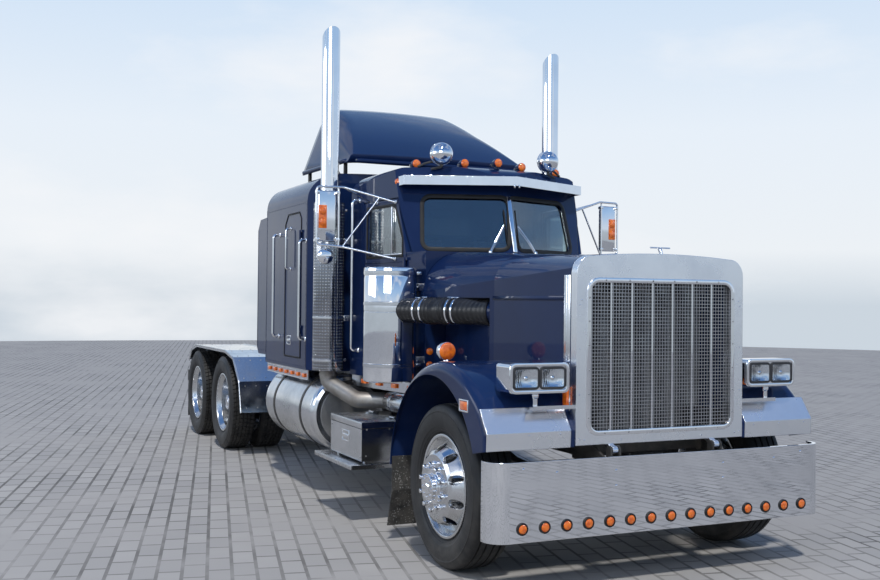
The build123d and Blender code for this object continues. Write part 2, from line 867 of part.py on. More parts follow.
def make_front_wheels():
    bore = front_spindle_radius + pin_clearance
    edge = front_drum_edge - rim_width / 2
    face = front_drum_face
    low, high = front_hub_hollow
    step = wheel_offset + front_hub_stand
    cap = wheel_offset + front_cap_stand
    hub = turned(((hub_radius, low), (hub_radius, step), (hub_cap_radius, step + joint_gap),
                  (hub_cap_radius - front_cap_edge, cap), (0, cap), (0, high), (bore, high), (bore, low)))
    drum = turned(((drum_radius, edge), (drum_radius, face), (hub_radius - join_depth, face), (hub_radius - join_depth, low),
                   (bore, low), (bore, front_bearing_y), (drum_radius - 3 * drum_wall, front_bearing_y), (drum_radius - drum_wall, edge)))
    place = Pos(0, front_wheel_y, tyre_radius)
    wheel = place * (rim(1) + hub + drum)
    rubber = place * tyre()
    add("front_tyre_left", rubber)
    add("front_tyre_right", mirrored(rubber))
    add("front_rim_left", wheel)
    add("front_rim_right", mirrored(wheel))


def make_rear_wheels():
    middle = dual_middle_y
    bore = rear_spindle_radius + pin_clearance
    edge = inner_wheel_y - rim_width / 2 + rear_drum_edge
    cap = rear_wheel_y + rear_cap_stand
    end = axle_end_y() + joint_gap
    shoulder = middle - rear_drum_reach
    inside = middle - rear_drum_reach - 2 * drum_wall
    body = turned(((drum_radius, edge), (drum_radius, shoulder), (hub_radius, shoulder + rear_drum_edge), (hub_radius, cap - rear_hub_step),
                   (hub_cap_radius, cap - rear_cap_step), (hub_cap_radius, cap), (0, cap), (0, end), (bore, end),
                   (bore, inside), (drum_radius - rear_drum_edge, inside), (drum_radius - drum_wall, edge)))
    wheel = body + Pos(0, rear_wheel_y, 0) * rim(-1) + Pos(0, inner_wheel_y, 0) * rim(1)
    for name, x in (("front", drive_front_x), ("rear", drive_rear_x)):
        place = Pos(x, 0, tyre_radius)
        solid = place * wheel
        add("drive_rims_" + name + "_left", solid)
        add("drive_rims_" + name + "_right", mirrored(solid))
        for y in (rear_wheel_y, inner_wheel_y):
            rubber = place * Pos(0, y, 0) * tyre()
            add("drive_tyres_" + name + "_left", rubber)
            add("drive_tyres_" + name + "_right", mirrored(rubber))


def axle_end_y():
    return dual_middle_y + hub_radius


def make_drive_axles():
    z = tyre_radius
    for x in (drive_front_x, drive_rear_x):
        housing = rod_y(x, -axle_tube_half, axle_tube_half, z, axle_tube_radius)
        housing += rod_x(x + bowl_reach[0], x + bowl_reach[1], 0, z, bowl_radius)
        housing += rod_y(x, -axle_end_y(), axle_end_y(), z, rear_spindle_radius)
        housing += rod_x(x + nose_reach[0], x + nose_reach[1], 0, shaft_z, nose_radius)
        for y in (-drive_beam_y, drive_beam_y):
            beam = slab("y", y - drive_beam_half, y + drive_beam_half, *moved(drive_beam_line, x, z))
            beam += rod_z(x + air_spring_x, y, air_spring_low, rail_bottom, air_spring_radius)
            beam += box(x + beam_hanger_x[0], x + beam_hanger_x[1], y - beam_hanger_half, y + beam_hanger_half,
                        beam_hanger_low, rail_bottom)
            housing += beam
        add("drive_axles", housing)
    add("drive_axles", rod_x(drive_front_x + nose_reach[1], shaft_front_x, 0, shaft_z, shaft_radius))
    add("drive_axles", rod_x(drive_rear_x + nose_reach[1], drive_front_x + nose_reach[0], 0, shaft_z, shaft_radius))


def make_tanks():
    tank = round_ends(rod_x(tank_rear_x, tank_front_x, tank_y, tank_z, tank_radius), tank_end)
    for x in (tank_rear_x + tank_bracket_inset, tank_front_x - tank_bracket_inset):
        tank += box(x - tank_bracket_half, x + tank_bracket_half, rail_half, tank_y, *tank_bracket_z)
    add("side_tanks", *both(tank))
    rear, front = air_tank_x
    small = round_ends(rod_x(rear, front, air_tank_y, air_tank_z, air_tank_radius), air_tank_end)
    for x in (rear + air_tank_bracket_inset, front - air_tank_bracket_inset - air_tank_bracket):
        small += box(x, x + air_tank_bracket, rail_half, air_tank_y, air_tank_z - air_tank_bracket_half, air_tank_z + air_tank_bracket_half)
    add("side_tanks", *both(small))


def make_step_boxes():
    x0, x1 = box_x
    z0, z1 = box_z
    wall = box_wall
    lid_low = z1 - lid_drop
    slope_y, slope_z = box_slope
    shape = ((rail_half, slope_z), (slope_y, z0), (box_outer, z0), (box_outer, z1), (rail_half, z1))
    hollow = ((rail_half + wall, slope_z + wall / 2), (slope_y + wall / 2, z0 + wall), (box_outer - wall, z0 + wall),
              (box_outer - wall, z1 - wall), (rail_half + wall, z1 - wall))
    body = slab("x", x0, x1, *shape) - slab("x", x0 + wall, x1 - wall, *hollow)
    body -= box(x0 - cut_past, x1 + cut_past, lid_hinge_y, box_outer + cut_past, lid_low - joint_gap, z1 + cut_past)
    body += box(*step_x, *step_y, *step_z)
    for x in (x0 + step_post_inset, x1 - step_post_inset):
        body += box(x - step_post_half, x + step_post_half, *step_post_y, step_z[1] - join_depth, z0 + join_depth)
    outer = box_outer + lid_overhang
    inner = lid_hinge_y + joint_gap
    lid = box(x0, x1, inner, outer, lid_low, z1)
    lid -= box(x0 + wall, x1 - wall, inner - cut_past, outer - wall, lid_low - cut_past, z1 - wall)
    for x in (x0 + lid_hinge_inset, x1 - lid_hinge_inset):
        fixed, moving = hinge("x", (x, lid_hinge_y + joint_gap / 2, z1), (0, 0, 1), (0, -1, 0), (0, 1, 0))
        body += fixed
        lid += moving
    add("step_boxes", *both(body))
    add("box_lid_left", lid)
    add("box_lid_right", mirrored(lid))


def make_rear_fenders():
    y0, y1 = rear_fender_y
    wall = rear_fender_wall
    sheet = slab("y", y0, y1, *band(rear_fender_line, -wall))
    lip = band(rear_fender_line, -rear_fender_lip)
    sheet += slab("y", y1 - wall, y1, *lip)
    sheet += slab("y", y0, y0 + wall, *lip)
    half = rear_fender_post / 2
    for x, low, high in rear_fender_posts:
        sheet += box(x - half, x + half, rail_half, rear_fender_post_y + rear_fender_post, low, low + rear_fender_post)
        sheet += box(x - half, x + half, rear_fender_post_y, rear_fender_post_y + rear_fender_post, low, high)
    add("rear_fenders_and_deck", *both(sheet))
    add("rear_fenders_and_deck", box(*deck_x, -rail_half, rail_half, rail_top, rail_top + deck_wall))


def make_tail():
    add("tail_bar", box(*tail_x, -tail_half, tail_half, *tail_z))
    x = tail_x[0] + mud_flap_inset
    add("mud_flaps", *both(box(x, x + mud_flap_wall, *mud_flap_y, mud_flap_low, tail_z[0])))


def make_fifth_wheel():
    low, high = fifth_ear_y
    base_top = rail_top + fifth_base_wall
    base = box(fifth_x - fifth_base_half, fifth_x + fifth_base_half, -rail_half, rail_half, rail_top, base_top)
    foot, head = fifth_ear_foot, fifth_ear_head
    ear = slab("y", low, high, (fifth_x - foot, base_top), (fifth_x + foot, base_top), (fifth_x + head, fifth_pivot_z),
               (fifth_x, fifth_pivot_z + head, fifth_x - head, fifth_pivot_z))
    ear += rod_y(fifth_x, low, high + fifth_pin_reach, fifth_pivot_z, fifth_pin_radius)
    add("fifth_wheel_base", base + ear + mirrored(ear))
    front = fifth_x + fifth_half_long
    rear = fifth_x - fifth_half_long
    wide = fifth_half_wide
    corner_x, corner_y = fifth_front_corner
    end_x, end_y = throat_end
    side = ((front, wide - corner_y), (front - corner_x, wide), (fifth_x - fifth_rear_corner, wide),
            (rear, throat_half + fifth_horn), (rear, throat_half), (fifth_x - end_x, end_y))
    plate_low = fifth_top - fifth_plate
    plate = slab("z", plate_low, fifth_top, *side, *tuple((x, -y) for x, y in reversed(side)))
    plate -= rod_z(fifth_x, 0, plate_low, fifth_top, kingpin_bore)
    root, tip = plate_ear_root, plate_ear_head
    y = high + joint_gap
    ear = slab("y", y, y + plate_ear_wall, (fifth_x - root, plate_low + join_depth), (fifth_x - tip, fifth_pivot_z),
               (fifth_x, fifth_pivot_z - tip, fifth_x + tip, fifth_pivot_z), (fifth_x + root, plate_low + join_depth))
    ear -= rod_y(fifth_x, y, y + plate_ear_wall, fifth_pivot_z, fifth_pin_radius + pin_clearance)
    add("fifth_wheel_plate", plate + ear + mirrored(ear))


def hood_section(x, half, side, crown, inset, bottom):
    """A hood section with round shoulders, from its lower right corner up and over to the left."""
    y = half - inset
    flat = half * hood_flat_share
    top = crown - inset
    knee_y = half * hood_knee_share - inset
    knee_z = side + (crown - side) * hood_flat_share - inset
    points = ((-y, bottom), (-y, side), (-knee_y, knee_z, -flat, top), (flat, top), (knee_y, knee_z, y, side), (y, bottom))
    return outline_wire(plane_across("x", x), points)


def hood_form(inset, bottom, front, rear):
    sections = (hood_section(front, surround_half, hood_front_side, hood_front_crown, inset, bottom),
                hood_section(hood_mid_x, hood_mid_half, hood_mid_side, hood_mid_crown, inset, bottom),
                hood_section(rear, hood_rear_half, hood_rear_side, hood_rear_crown, inset, bottom))
    form = Solid.make_loft(sections, ruled=True)
    recess = box(rear - hood_rear_half, recess_front_x + inset, recess_half - inset, hood_rear_half + cut_past,
                 bottom - cut_past, recess_top + inset)
    return form - recess - mirrored(recess)


def intake_line():
    """The plan run of the intake from the air cleaner to the hood: start, split and end points."""
    start = (cleaner_x + intake_start[0], cleaner_y - intake_start[1])
    end = (recess_front_x + intake_end[0], recess_half + intake_end[1])
    middle = tuple(a + (b - a) * intake_split for a, b in zip(start, end))
    return start, middle, end


def make_hood():
    outer = hood_form(0, hood_bottom, surround_back_x, hood_rear_x)
    inner = hood_form(hood_skin, hood_bottom - hood_skin, surround_back_x + cut_past, hood_rear_x - cut_past)
    start, middle, end = intake_line()
    step = seat_gap / hypot(end[0] - middle[0], end[1] - middle[1])
    mouth = tuple(a + (b - a) * step for a, b in zip(middle, end))
    duct = rod_between((*mouth, intake_z), (*end, intake_z), intake_radius)
    bore = rod_between((*mouth, intake_z), (*end, intake_z), intake_radius - hood_skin)
    shell = outer + duct + mirrored(duct) - inner - bore - mirrored(bore)
    add("hood_shell", shell)
    return outer


def make_surround():
    half = surround_half
    shoulder = surround_shoulder
    crown = surround_top - surround_crown[1]
    bend_y, bend_z = half - surround_bend[0], shoulder + surround_bend[1]
    crown_y = half - surround_crown[0]
    arch = ((half, surround_bottom), (half, shoulder), (bend_y, bend_z, crown_y, crown), (0, surround_top, -crown_y, crown),
            (-bend_y, bend_z, -half, shoulder), (-half, surround_bottom))
    shell = slab("x", surround_back_x, surround_front_x, *arch)
    opening = box(surround_back_x - cut_past, surround_front_x + cut_past, -grille_half, grille_half, grille_bottom, grille_top)
    shell -= fillet(opening.edges().filter_by(Axis.X), grille_corner)
    low, high = hinge_lug_y
    root = surround_bottom + join_depth
    back, front = surround_back_x + join_depth, surround_front_x - join_depth
    radius = hinge_lug_radius
    lug = slab("y", low, high, (back, root), (back, surround_bottom - join_depth), (hinge_x - radius / 2, hinge_z - radius / 2),
               (hinge_x + radius / 2, hinge_z + radius / 2), (front, root))
    lug += rod_y(hinge_x, low, high, hinge_z, radius)
    lug -= rod_y(hinge_x, low, high, hinge_z, hinge_pin_radius + pin_clearance)
    add("hood_brightwork", shell + lug + mirrored(lug))
    screen_x = surround_front_x - screen_setback
    edge = seat_gap
    screen = box(screen_x - screen_wall, screen_x, edge - grille_half, grille_half - edge, grille_bottom + edge, grille_top - edge)
    screen = fillet(screen.edges().filter_by(Axis.X), grille_corner)
    pitch = 2 * grille_half / (grille_bars + 1)
    for index in range(grille_bars):
        y = (index + 1) * pitch - grille_half
        screen += box(screen_x - cut_past, screen_x + bar_stand, y - bar_width / 2, y + bar_width / 2,
                      grille_bottom + bar_end, grille_top - bar_end)
    add("grille_screen", screen)


def fender_region(inset, drop):
    """The fender's side outline as one closed region, moved in by the inset and down by the drop."""
    centre = fender_centre
    radius = fender_radius - inset
    start = atan2(fender_slope[1] - centre[1], fender_slope[0] - centre[0])
    end = radians(fender_tail_angle)
    slope, middle, tail = (on_circle(centre, radius, angle) for angle in (start, (start + end) / 2, end))
    return ((fender_low[0] - inset, fender_low[1] - drop), (fender_band[0] - inset, fender_band[1] - inset / 2), slope,
            (*middle, *tail), (fender_tail[0] + inset, fender_tail[1] - drop))


def make_fenders(hood):
    def rounded(form, radius):
        return fillet(form.faces().sort_by(Axis.Y)[-1].edges().sort_by(Axis.Z)[-3:], radius)

    outer = rounded(slab("y", fender_inner, fender_outer, *fender_region(0, 0)), fender_roll)
    inner = slab("y", fender_inner - cut_past, fender_outer - fender_skin, *fender_region(fender_skin, flap_join))
    shell = outer - rounded(inner, fender_roll - fender_skin)
    x, z = arch_centre
    low_y, high_y = fender_outer - arch_radius / 6, fender_outer + cut_past
    shell -= rod_y(x, low_y, high_y, z, arch_radius)
    shell -= box(x - arch_radius + arch_sides[0], x + arch_radius - arch_sides[1], low_y, high_y, 0, z + arch_straight)
    skirt = slab("y", fender_inner, fender_inner + fender_skin, *fender_region(cut_past, 0))
    shell += skirt - box(-arch_radius * 2, arch_radius * 2, 0, fender_outer, 0, fender_skirt_low)
    add("front_fenders", *both(largest(shell - hood)))
    guard = slab("y", guard_inner, fender_outer + guard_overhang, *band((fender_slope, fender_band, fender_low), -guard_wall))
    add("hood_brightwork", *both(guard))


def make_flaps():
    region = fender_region(fender_skin, flap_join)
    (arc_x, arc_z), (tail_x0, tail_z0) = region[3][2:], region[4]
    join_z = fender_tail[1] + flap_join
    front = tail_x0 + (arc_x - tail_x0) * (join_z - tail_z0) / (arc_z - tail_z0) + seat_gap
    low = front - flap_rake
    flap = slab("y", *flap_y, (front, join_z), (front, flap_bend_z), (low, flap_low), (low + flap_wall, flap_low),
                (front + flap_wall, flap_bend_z), (front + flap_wall, join_z))
    add("splash_flaps", *both(flap))


def make_front_lamps():
    half = headlamp_wide / 2
    low = headlamp_z - headlamp_high / 2
    high = headlamp_z + headlamp_high / 2
    front = headlamp_front_x
    post_x = front - headlamp_post_back
    pod = box(front - headlamp_deep, front, headlamp_y - half, headlamp_y + half, low, high)
    pod = fillet(pod.edges().filter_by(Axis.X), headlamp_corner)
    pod = fillet(pod.faces().sort_by(Axis.X)[0].edges(), headlamp_back_corner)
    pod += rod_z(post_x, headlamp_y, headlamp_arm_z[1] - cut_past, low + join_depth, headlamp_post_radius)
    pod += Pos(post_x, headlamp_y, low - headlamp_ball_drop) * Sphere(headlamp_ball_radius)
    pod += box(surround_back_x + headlamp_arm_edge, surround_front_x - headlamp_arm_edge, surround_half,
               headlamp_y + headlamp_arm_reach, *headlamp_arm_z)
    add("front_lamps", *both(pod))
    x, y, z = turn_lamp
    angle = atan2(z - fender_centre[1], x - fender_centre[0])
    foot_x, foot_z = on_circle(fender_centre, fender_radius + seat_gap, angle)
    lamp = Pos(x, y, z) * Rot(0, 90, 0) * Cylinder(turn_lamp_radius, turn_lamp_deep)
    lamp += rod_between((foot_x, y, foot_z), (x, y, z), turn_lamp_post)
    add("front_lamps", *both(lamp))


def cab_side_y(x):
    """The half width of the cab's side at a station."""
    return cab_front_half + cab_side_slope() * (cab_front_x - x)


def cab_side_slope():
    return (cab_rear_half - cab_front_half) / (cab_front_x - cab_rear_x)


def cab_form(inset, floor):
    """The cab's outside form, or its inside when the inset is the wall."""
    front = cab_front_x - inset
    rear = cab_rear_x + inset
    front_half = cab_side_y(front) - inset
    rear_half = cab_side_y(rear) - inset
    plan = slab("z", floor, cab_crown, (front, -front_half), (front, front_half), (rear, rear_half), (rear, -rear_half))
    half = cab_rear_half
    side_top = cab_side_top - inset / 2
    crown = cab_crown - inset
    flat = half - cab_shoulder
    knee_y = half - cab_knee[0]
    knee_z = (side_top + crown) / 2 + cab_knee[1]
    edge = crown - cab_crown_drop
    form = plan & slab("x", rear, front, (-half, floor), (-half, side_top), (-knee_y, knee_z, -flat, edge),
                       (0, crown, flat, edge), (knee_y, knee_z, half, side_top), (half, floor))
    lean = (glass_low_x - glass_high_x) / (glass_high_z - glass_low_z)
    brow = glass_high_x - lean * (header_z - glass_high_z) - inset
    belt = cab_belt - inset
    back, drop, run = cab_brow
    form &= slab("y", -half, half, (front, floor), (front, belt), (glass_low_x - inset, belt), (brow, header_z),
                 (brow - back, crown - drop, brow + inset - run, crown), (rear, crown), (rear, floor))
    for sign in (1, -1):
        form -= pillar_wedge(sign, inset)
    return form


def glass_plane(sign, inset):
    """The plane of one windshield pane, with its normal out of the cab."""
    lean = Vector(glass_high_x - glass_low_x, 0, glass_high_z - glass_low_z)
    across = Vector(-glass_sweep, sign * glass_outer_y, 0)
    normal = across.cross(lean).normalized() if sign > 0 else lean.cross(across).normalized()
    origin = Vector(glass_low_x, 0, glass_low_z) - normal * inset
    return Plane(origin=origin, x_dir=across.normalized() * sign, z_dir=normal)


def pane_sheet(sign, inset, wall):
    """A wide sheet in a windshield pane's plane. Its wall runs outwards, or inwards when it is negative."""
    return extrude(glass_plane(sign, inset) * Rectangle(2 * cab_belt, cab_belt), amount=wall)


def pillar_wedge(sign, inset):
    """What a pane's plane cuts off the cab's front above the belt."""
    keep = box(2 * cab_rear_x, 0, 0, sign * cab_belt, cab_belt - inset, 2 * cab_belt)
    return pane_sheet(sign, inset, glass_outer_y) & keep


def window_cut(sign, margin):
    """A rounded block through one windshield pane."""
    plane = glass_plane(sign, 0)
    low = plane.to_local_coords(Vector(glass_low_x, 0, glass_low_z))
    tall = hypot(glass_high_x - glass_low_x, glass_high_z - glass_low_z)
    inner = glass_centre_bar
    outer = hypot(glass_sweep, glass_outer_y) - margin
    centre = Pos(sign * (inner + outer) / 2, low.Y + tall / 2)
    shape = RectangleRounded(outer - inner - margin, tall - 2 * margin, glass_corner)
    return extrude(plane * centre * shape, amount=glass_sweep, both=True)


def door_outline(gap):
    front = door_front_x - gap
    rear = door_rear_x + gap
    return ((front, door_bottom + gap), (rear, door_bottom + gap), (rear, door_top - gap), (door_slant_x - gap, door_top - gap),
            (front, cab_belt))


def door_window(margin):
    front = door_front_x - window_margin - margin
    rear = door_rear_x + window_margin + margin
    high = window_top - margin
    return ((front, window_low + margin), (rear, window_low + margin), (rear, high),
            (door_slant_x - window_margin + window_slant - margin, high), (front, cab_belt + window_corner_rise))


def make_cab():
    shell = cab_form(0, cab_floor) - cab_form(cab_wall, cab_floor + cab_wall)
    for sign in (1, -1):
        shell -= window_cut(sign, glass_margin)
    shell -= box(cab_rear_x - cut_past, cab_rear_x + 2 * cab_wall, -pass_half, pass_half, pass_low, pass_high)
    whole = shell
    hinge_at = door_front_x - panel_gap / 2
    middle = cab_wall * glass_depth_share
    sheet = cab_form(middle, cab_floor) - cab_form(middle + glass_wall, cab_floor)
    for label, flip in (("left", False), ("right", True)):
        low, high = (-cab_belt, -pass_half) if flip else (pass_half, cab_belt)
        door = (whole & slab("y", low, high, *door_outline(panel_gap))) - slab("y", low, high, *door_window(0))
        shell -= slab("y", low, high, *door_outline(0))
        for z in cab_hinge_z:
            fixed, moving = hinge("z", (hinge_at, cab_side_y(hinge_at), z), (0, 1, 0), (1, 0, 0), (-1, 0, 0))
            shell += mirrored(fixed) if flip else fixed
            door += mirrored(moving) if flip else moving
        add("door_" + label, door)
        add("door_glass_" + label, sheet & slab("y", low, high, *door_window(seat_gap)))
    add("cab_shell", shell)
    for sign in (1, -1):
        add("cab_glass", window_cut(sign, glass_margin + seat_gap) & pane_sheet(sign, middle, -glass_wall))


def make_visor():
    def plan(inset, tip, back):
        centre = visor_centre_x - inset
        half = visor_half - inset
        return ((centre, 0), (tip, half), (visor_tip_x - back[0], half), (visor_centre_x - back[1], 0),
                (visor_tip_x - back[0], -half), (tip, -half))

    low, high = visor_z
    wall = visor_wall
    tip = visor_tip_x + visor_tip_deep
    visor = slab("z", low, high, *plan(0, tip, visor_back))
    visor -= slab("z", low - cut_past, high - wall, *plan(wall, tip - wall, tuple(run + wall for run in visor_back)))
    add("sun_visor", largest(visor - cab_form(0, cab_floor)))


def make_roof_lamps():
    cab = cab_form(0, cab_floor)
    low = visor_z[1] + seat_gap
    for x, y, z in roof_lamps:
        lamp = rod_x(x - roof_lamp_long, x, y, z, roof_lamp_radius)
        lamp += rod_z(x - roof_lamp_post_back, y, low, z, roof_lamp_post)
        add("marker_lamps", lamp - cab)
    x, y, z = spot_lamp
    spot = Pos(x, y, z) * Sphere(spot_radius) + rod_z(x, y, low, z, spot_post)
    add("marker_lamps", *both(spot - cab))


def wheel_axis():
    return Vector(-cos(radians(steering_tilt)), 0, sin(radians(steering_tilt)))


def wheel_centre(along):
    return tuple(Vector(*steering_hub) + wheel_axis() * along)


def make_interior():
    wall_x = cab_front_x - cab_wall - seat_gap
    shelf_z = cab_belt - cab_wall - seat_gap
    dash = slab("y", -dash_half, dash_half, (wall_x, dash_low), (wall_x, shelf_z), *dash_line)
    column = rod_between(wheel_centre(-column_foot), wheel_centre(-column_end), column_radius)
    column += rod_between(wheel_centre(-column_end), wheel_centre(-shaft_end), steering_shaft)
    add("cab_interior", dash + column)
    low, high = seat_z
    rear, front = seat_x
    for y in (-seat_y, seat_y):
        add("seats_and_bunk", box(rear, front, y - seat_half, y + seat_half, low, high))
        add("seats_and_bunk", slab("y", y - seat_half, y + seat_half, *moved(seat_back_line, 0, high + seat_gap)))
        add("cab_interior", box(rear + seat_base_inset, front - seat_base_inset, y - seat_base_half, y + seat_base_half,
                                cab_floor + cab_wall, low))
    half = sleeper_half - sleeper_wall - bunk_side_gap
    rear = sleeper_rear_x + sleeper_wall + bunk_back_gap
    add("seats_and_bunk", box(rear, rear + bunk_long, -half, half, *bunk_z))
    add("cab_interior", box(rear, rear + bunk_long, -half, half, sleeper_floor + sleeper_wall, bunk_z[0]))


def make_steering_wheel():
    plane = Plane(origin=steering_hub, z_dir=wheel_axis(), x_dir=(0, 1, 0))
    wheel = plane * Torus(steering_radius, steering_grip)
    wheel += rod_between(wheel_centre(joint_gap - column_end), wheel_centre(steering_boss_top), steering_boss)
    wheel -= rod_between(wheel_centre(-column_end), wheel_centre(joint_gap - shaft_end), steering_shaft + pin_clearance)
    for angle in steering_spokes:
        way = Vector(cos(radians(angle)), sin(radians(angle)), 0)
        start = plane.from_local_coords(way * steering_spoke_root)
        end = plane.from_local_coords(way * steering_radius)
        wheel += rod_between(tuple(start), tuple(end), steering_spoke)
    add("steering_wheel", wheel)


def sleeper_form(inset, floor):
    front = sleeper_front_x - inset
    rear = sleeper_rear_x + inset
    half = sleeper_half - inset
    corner = sleeper_corner
    plan = slab("z", floor, sleeper_crown, (front, -half + corner), (front, half - corner), (front - corner, half), (rear, half),
                (rear, -half), (front - corner, -half))
    side_top = sleeper_side_top - inset / 2
    crown = sleeper_crown - inset
    flat = half - sleeper_shoulder
    knee_y = half - sleeper_knee[0]
    knee_z = side_top + (crown - side_top) * sleeper_knee[1]
    edge = crown - sleeper_crown_drop
    return plan & slab("x", rear, front, (-half, floor), (-half, side_top), (-knee_y, knee_z, -flat, edge),
                       (0, crown, flat, edge), (knee_y, knee_z, half, side_top), (half, floor))


def berth_outline(gap):
    rear, front = berth_door_x
    low, high = berth_door_z
    return ((front - gap, low + gap), (rear + gap, low + gap), (rear + gap, high - berth_corner), (rear + berth_corner, high - gap),
            (front - berth_front_corner, high - gap), (front - gap, high - berth_front_corner))


def make_sleeper():
    shell = sleeper_form(0, sleeper_floor) - sleeper_form(sleeper_wall, sleeper_floor + sleeper_wall)
    shell -= box(sleeper_front_x - 2 * sleeper_wall, sleeper_front_x + cut_past, -pass_half, pass_half, pass_low, pass_high)
    reach = (-sleeper_half - cut_past, -pass_half)
    door = shell & slab("y", *reach, *berth_outline(panel_gap))
    shell -= slab("y", *reach, *berth_outline(0))
    for z in berth_hinge_z:
        point = (berth_door_x[1] - panel_gap / 2, -sleeper_half, z)
        fixed, moving = hinge("z", point, (0, -1, 0), (1, 0, 0), (-1, 0, 0))
        shell += fixed
        door += moving
    add("sleeper_door", door)
    add("sleeper_shell", shell)
    outer = sleeper_half - extender_inset
    end, top = extender_rear_x, extender_high
    cut_x, cut_z, cut_low = extender_top_cut
    panel = slab("y", outer - extender_wall, outer, (sleeper_rear_x, extender_low), (sleeper_rear_x, top),
                 (end + cut_x, top - cut_z), (end, top - cut_low), (end, extender_low + extender_low_cut),
                 (end + extender_low_cut, extender_low))
    add("side_extenders", *both(panel))
    boot = box(sleeper_front_x, cab_rear_x, -boot_half, boot_half, boot_low, boot_high)
    inner = boot_half - boot_wall
    boot -= box(sleeper_front_x, cab_rear_x, -inner, inner, boot_low + boot_wall, boot_high - boot_wall)
    add("cab_boot", boot)


def deflector_section(x, half, rise, top_half, inset, lower):
    base = deflector_base - lower
    height = deflector_base + rise
    side = half - inset
    top = height - inset
    shoulder = min(deflector_shoulder, (height - base) * deflector_shoulder_share)
    knee = shoulder * deflector_knee_share
    upper = top_half - inset
    points = ((-side, base), (-upper - knee, top - shoulder), (-upper + knee / 2, top - knee, -upper + shoulder, top),
              (upper - shoulder, top), (upper - knee / 2, top - knee, upper + knee, top - shoulder), (side, base))
    return outline_wire(plane_across("x", x), points)


def deflector_form(inset, lower):
    sections = (deflector_section(deflector_front_x, deflector_front_half, deflector_lip, deflector_front_top, inset, lower),
                deflector_section(deflector_mid_x, deflector_mid_half, deflector_mid_rise, deflector_mid_top, inset, lower),
                deflector_section(deflector_rear_x, deflector_rear_half, deflector_height - deflector_base, deflector_top_half,
                                  inset, lower))
    return Solid.make_loft(sections, ruled=True)


def make_deflector():
    shell = deflector_form(0, 0) - Pos(-deflector_skin, 0, 0) * deflector_form(deflector_skin, 2 * deflector_skin)
    form = sleeper_form(0, sleeper_floor)
    half = strut_half
    for x, side in zip(strut_stations, (deflector_front_half, deflector_rear_half)):
        y = side - strut_inset
        strut = box(x - half, x + half, y - half, y + half, strut_low, deflector_base + 2 * deflector_skin) - form
        shell += strut + mirrored(strut)
    add("roof_deflector", shell)


def make_air_cleaners():
    cab = cab_form(0, cab_floor)
    cleaner = round_ends(rod_z(cleaner_x, cleaner_y, cleaner_low, cleaner_high, cleaner_radius), cleaner_edge)
    half = cleaner_bracket_high
    for z in cleaner_brackets:
        cleaner += box(cleaner_x - half, cleaner_x + half, cab_front_half, cleaner_y, z, z + cleaner_bracket_high)
    add("air_cleaners", *both(largest(cleaner - cab)))
    start, middle, end = intake_line()
    hose = rod_between((*start, intake_z), (*middle, intake_z), intake_radius)
    hose -= rod_z(cleaner_x, cleaner_y, cleaner_low, cleaner_high, cleaner_radius + joint_gap)
    add("intake_pipes", *both(largest(hose)))


def make_stacks():
    stack = rod_z(stack_x, stack_y, shield_low, shield_high, shield_radius)
    stack += rod_z(stack_x, stack_y, shield_high - join_depth, stack_top, stack_pipe_radius)
    reach = 2 * stack_pipe_radius
    tip = Pos(stack_x, stack_y, stack_top - stack_cut_drop) * Rot(0, -stack_cut_angle, 0) * box(-reach, reach, -reach, reach, 0, 2 * reach)
    stack -= tip
    knee, foot = elbow_run
    stack += bent_rod(((stack_x, stack_y, shield_low + join_depth), (stack_x, stack_y, elbow_knee_z),
                       (stack_x + knee[0], stack_y - knee[1], elbow_low_z), (stack_x + foot[0], stack_y - foot[1], elbow_low_z)),
                      elbow_radius, elbow_bend)
    half = stack_bracket_half
    for z in stack_brackets:
        stack += box(stack_x - half, stack_x + 3 * half, stack_bracket_inner, stack_y, z, z + stack_bracket_high)
    add("exhaust_stacks", *both(largest(stack - cab_form(0, cab_floor))))


def make_skirts():
    wall = skirt_wall
    ends = [(x, cab_side_y(x) - skirt_inset) for x in (cab_front_x - cab_skirt_front, cab_rear_x)]
    skirt = slab("z", cab_floor - skirt_high, cab_floor, *band(tuple(ends), -wall))
    add("lower_skirts", *both(skirt))
    y = sleeper_half - skirt_inset
    add("lower_skirts", *both(box(sleeper_rear_x, sleeper_front_x - sleeper_corner, y - wall, y, sleeper_floor - skirt_high,
                                  sleeper_floor)))


def make_grab_bars():
    walls = cab_form(-seat_gap, cab_floor) + sleeper_form(-seat_gap, sleeper_floor)
    for x, low, high in grab_bars:
        y = cab_side_y(x) if x > cab_rear_x else sleeper_half
        root, stand = y - join_depth, y + grab_stand
        bar = bent_rod(((x, root, low), (x, stand, low), (x, stand, high), (x, root, high)), grab_radius, grab_bend)
        add("grab_bars", *both(largest(bar - walls)))


def make_mirrors():
    half = mirror_half_wide
    head = box(mirror_x - mirror_deep[0], mirror_x + mirror_deep[1], mirror_y - half, mirror_y + half, *mirror_z)
    head = fillet(head.edges(), mirror_corner)
    foot_y = cab_side_y(mirror_foot_x)
    reach = mirror_foot_half
    for z, foot_z in mirror_arms:
        head += rod_between((mirror_foot_x, foot_y, foot_z), (mirror_x, mirror_y, z), mirror_arm_radius)
        head += box(mirror_foot_x - reach, mirror_foot_x + reach, foot_y - reach, foot_y + mirror_foot_wall,
                    foot_z - mirror_foot_high, foot_z + mirror_foot_high)
    head += rod_z(mirror_x, mirror_y, mirror_arms[1][0], mirror_arms[0][0], mirror_arm_radius)
    head = largest(head - cab_form(0, cab_floor))
    add("mirror_left", head)
    add("mirror_right", mirrored(head))


def write_parts():
    os.makedirs("parts", exist_ok=True)
    for name, solids in parts.items():
        pieces = [Pos(row_shift, 0, 0) * solid for solid in solids]
        shape = pieces[0] if len(pieces) == 1 else Compound(children=pieces)
        export_step(shape, "parts/" + name + ".step")


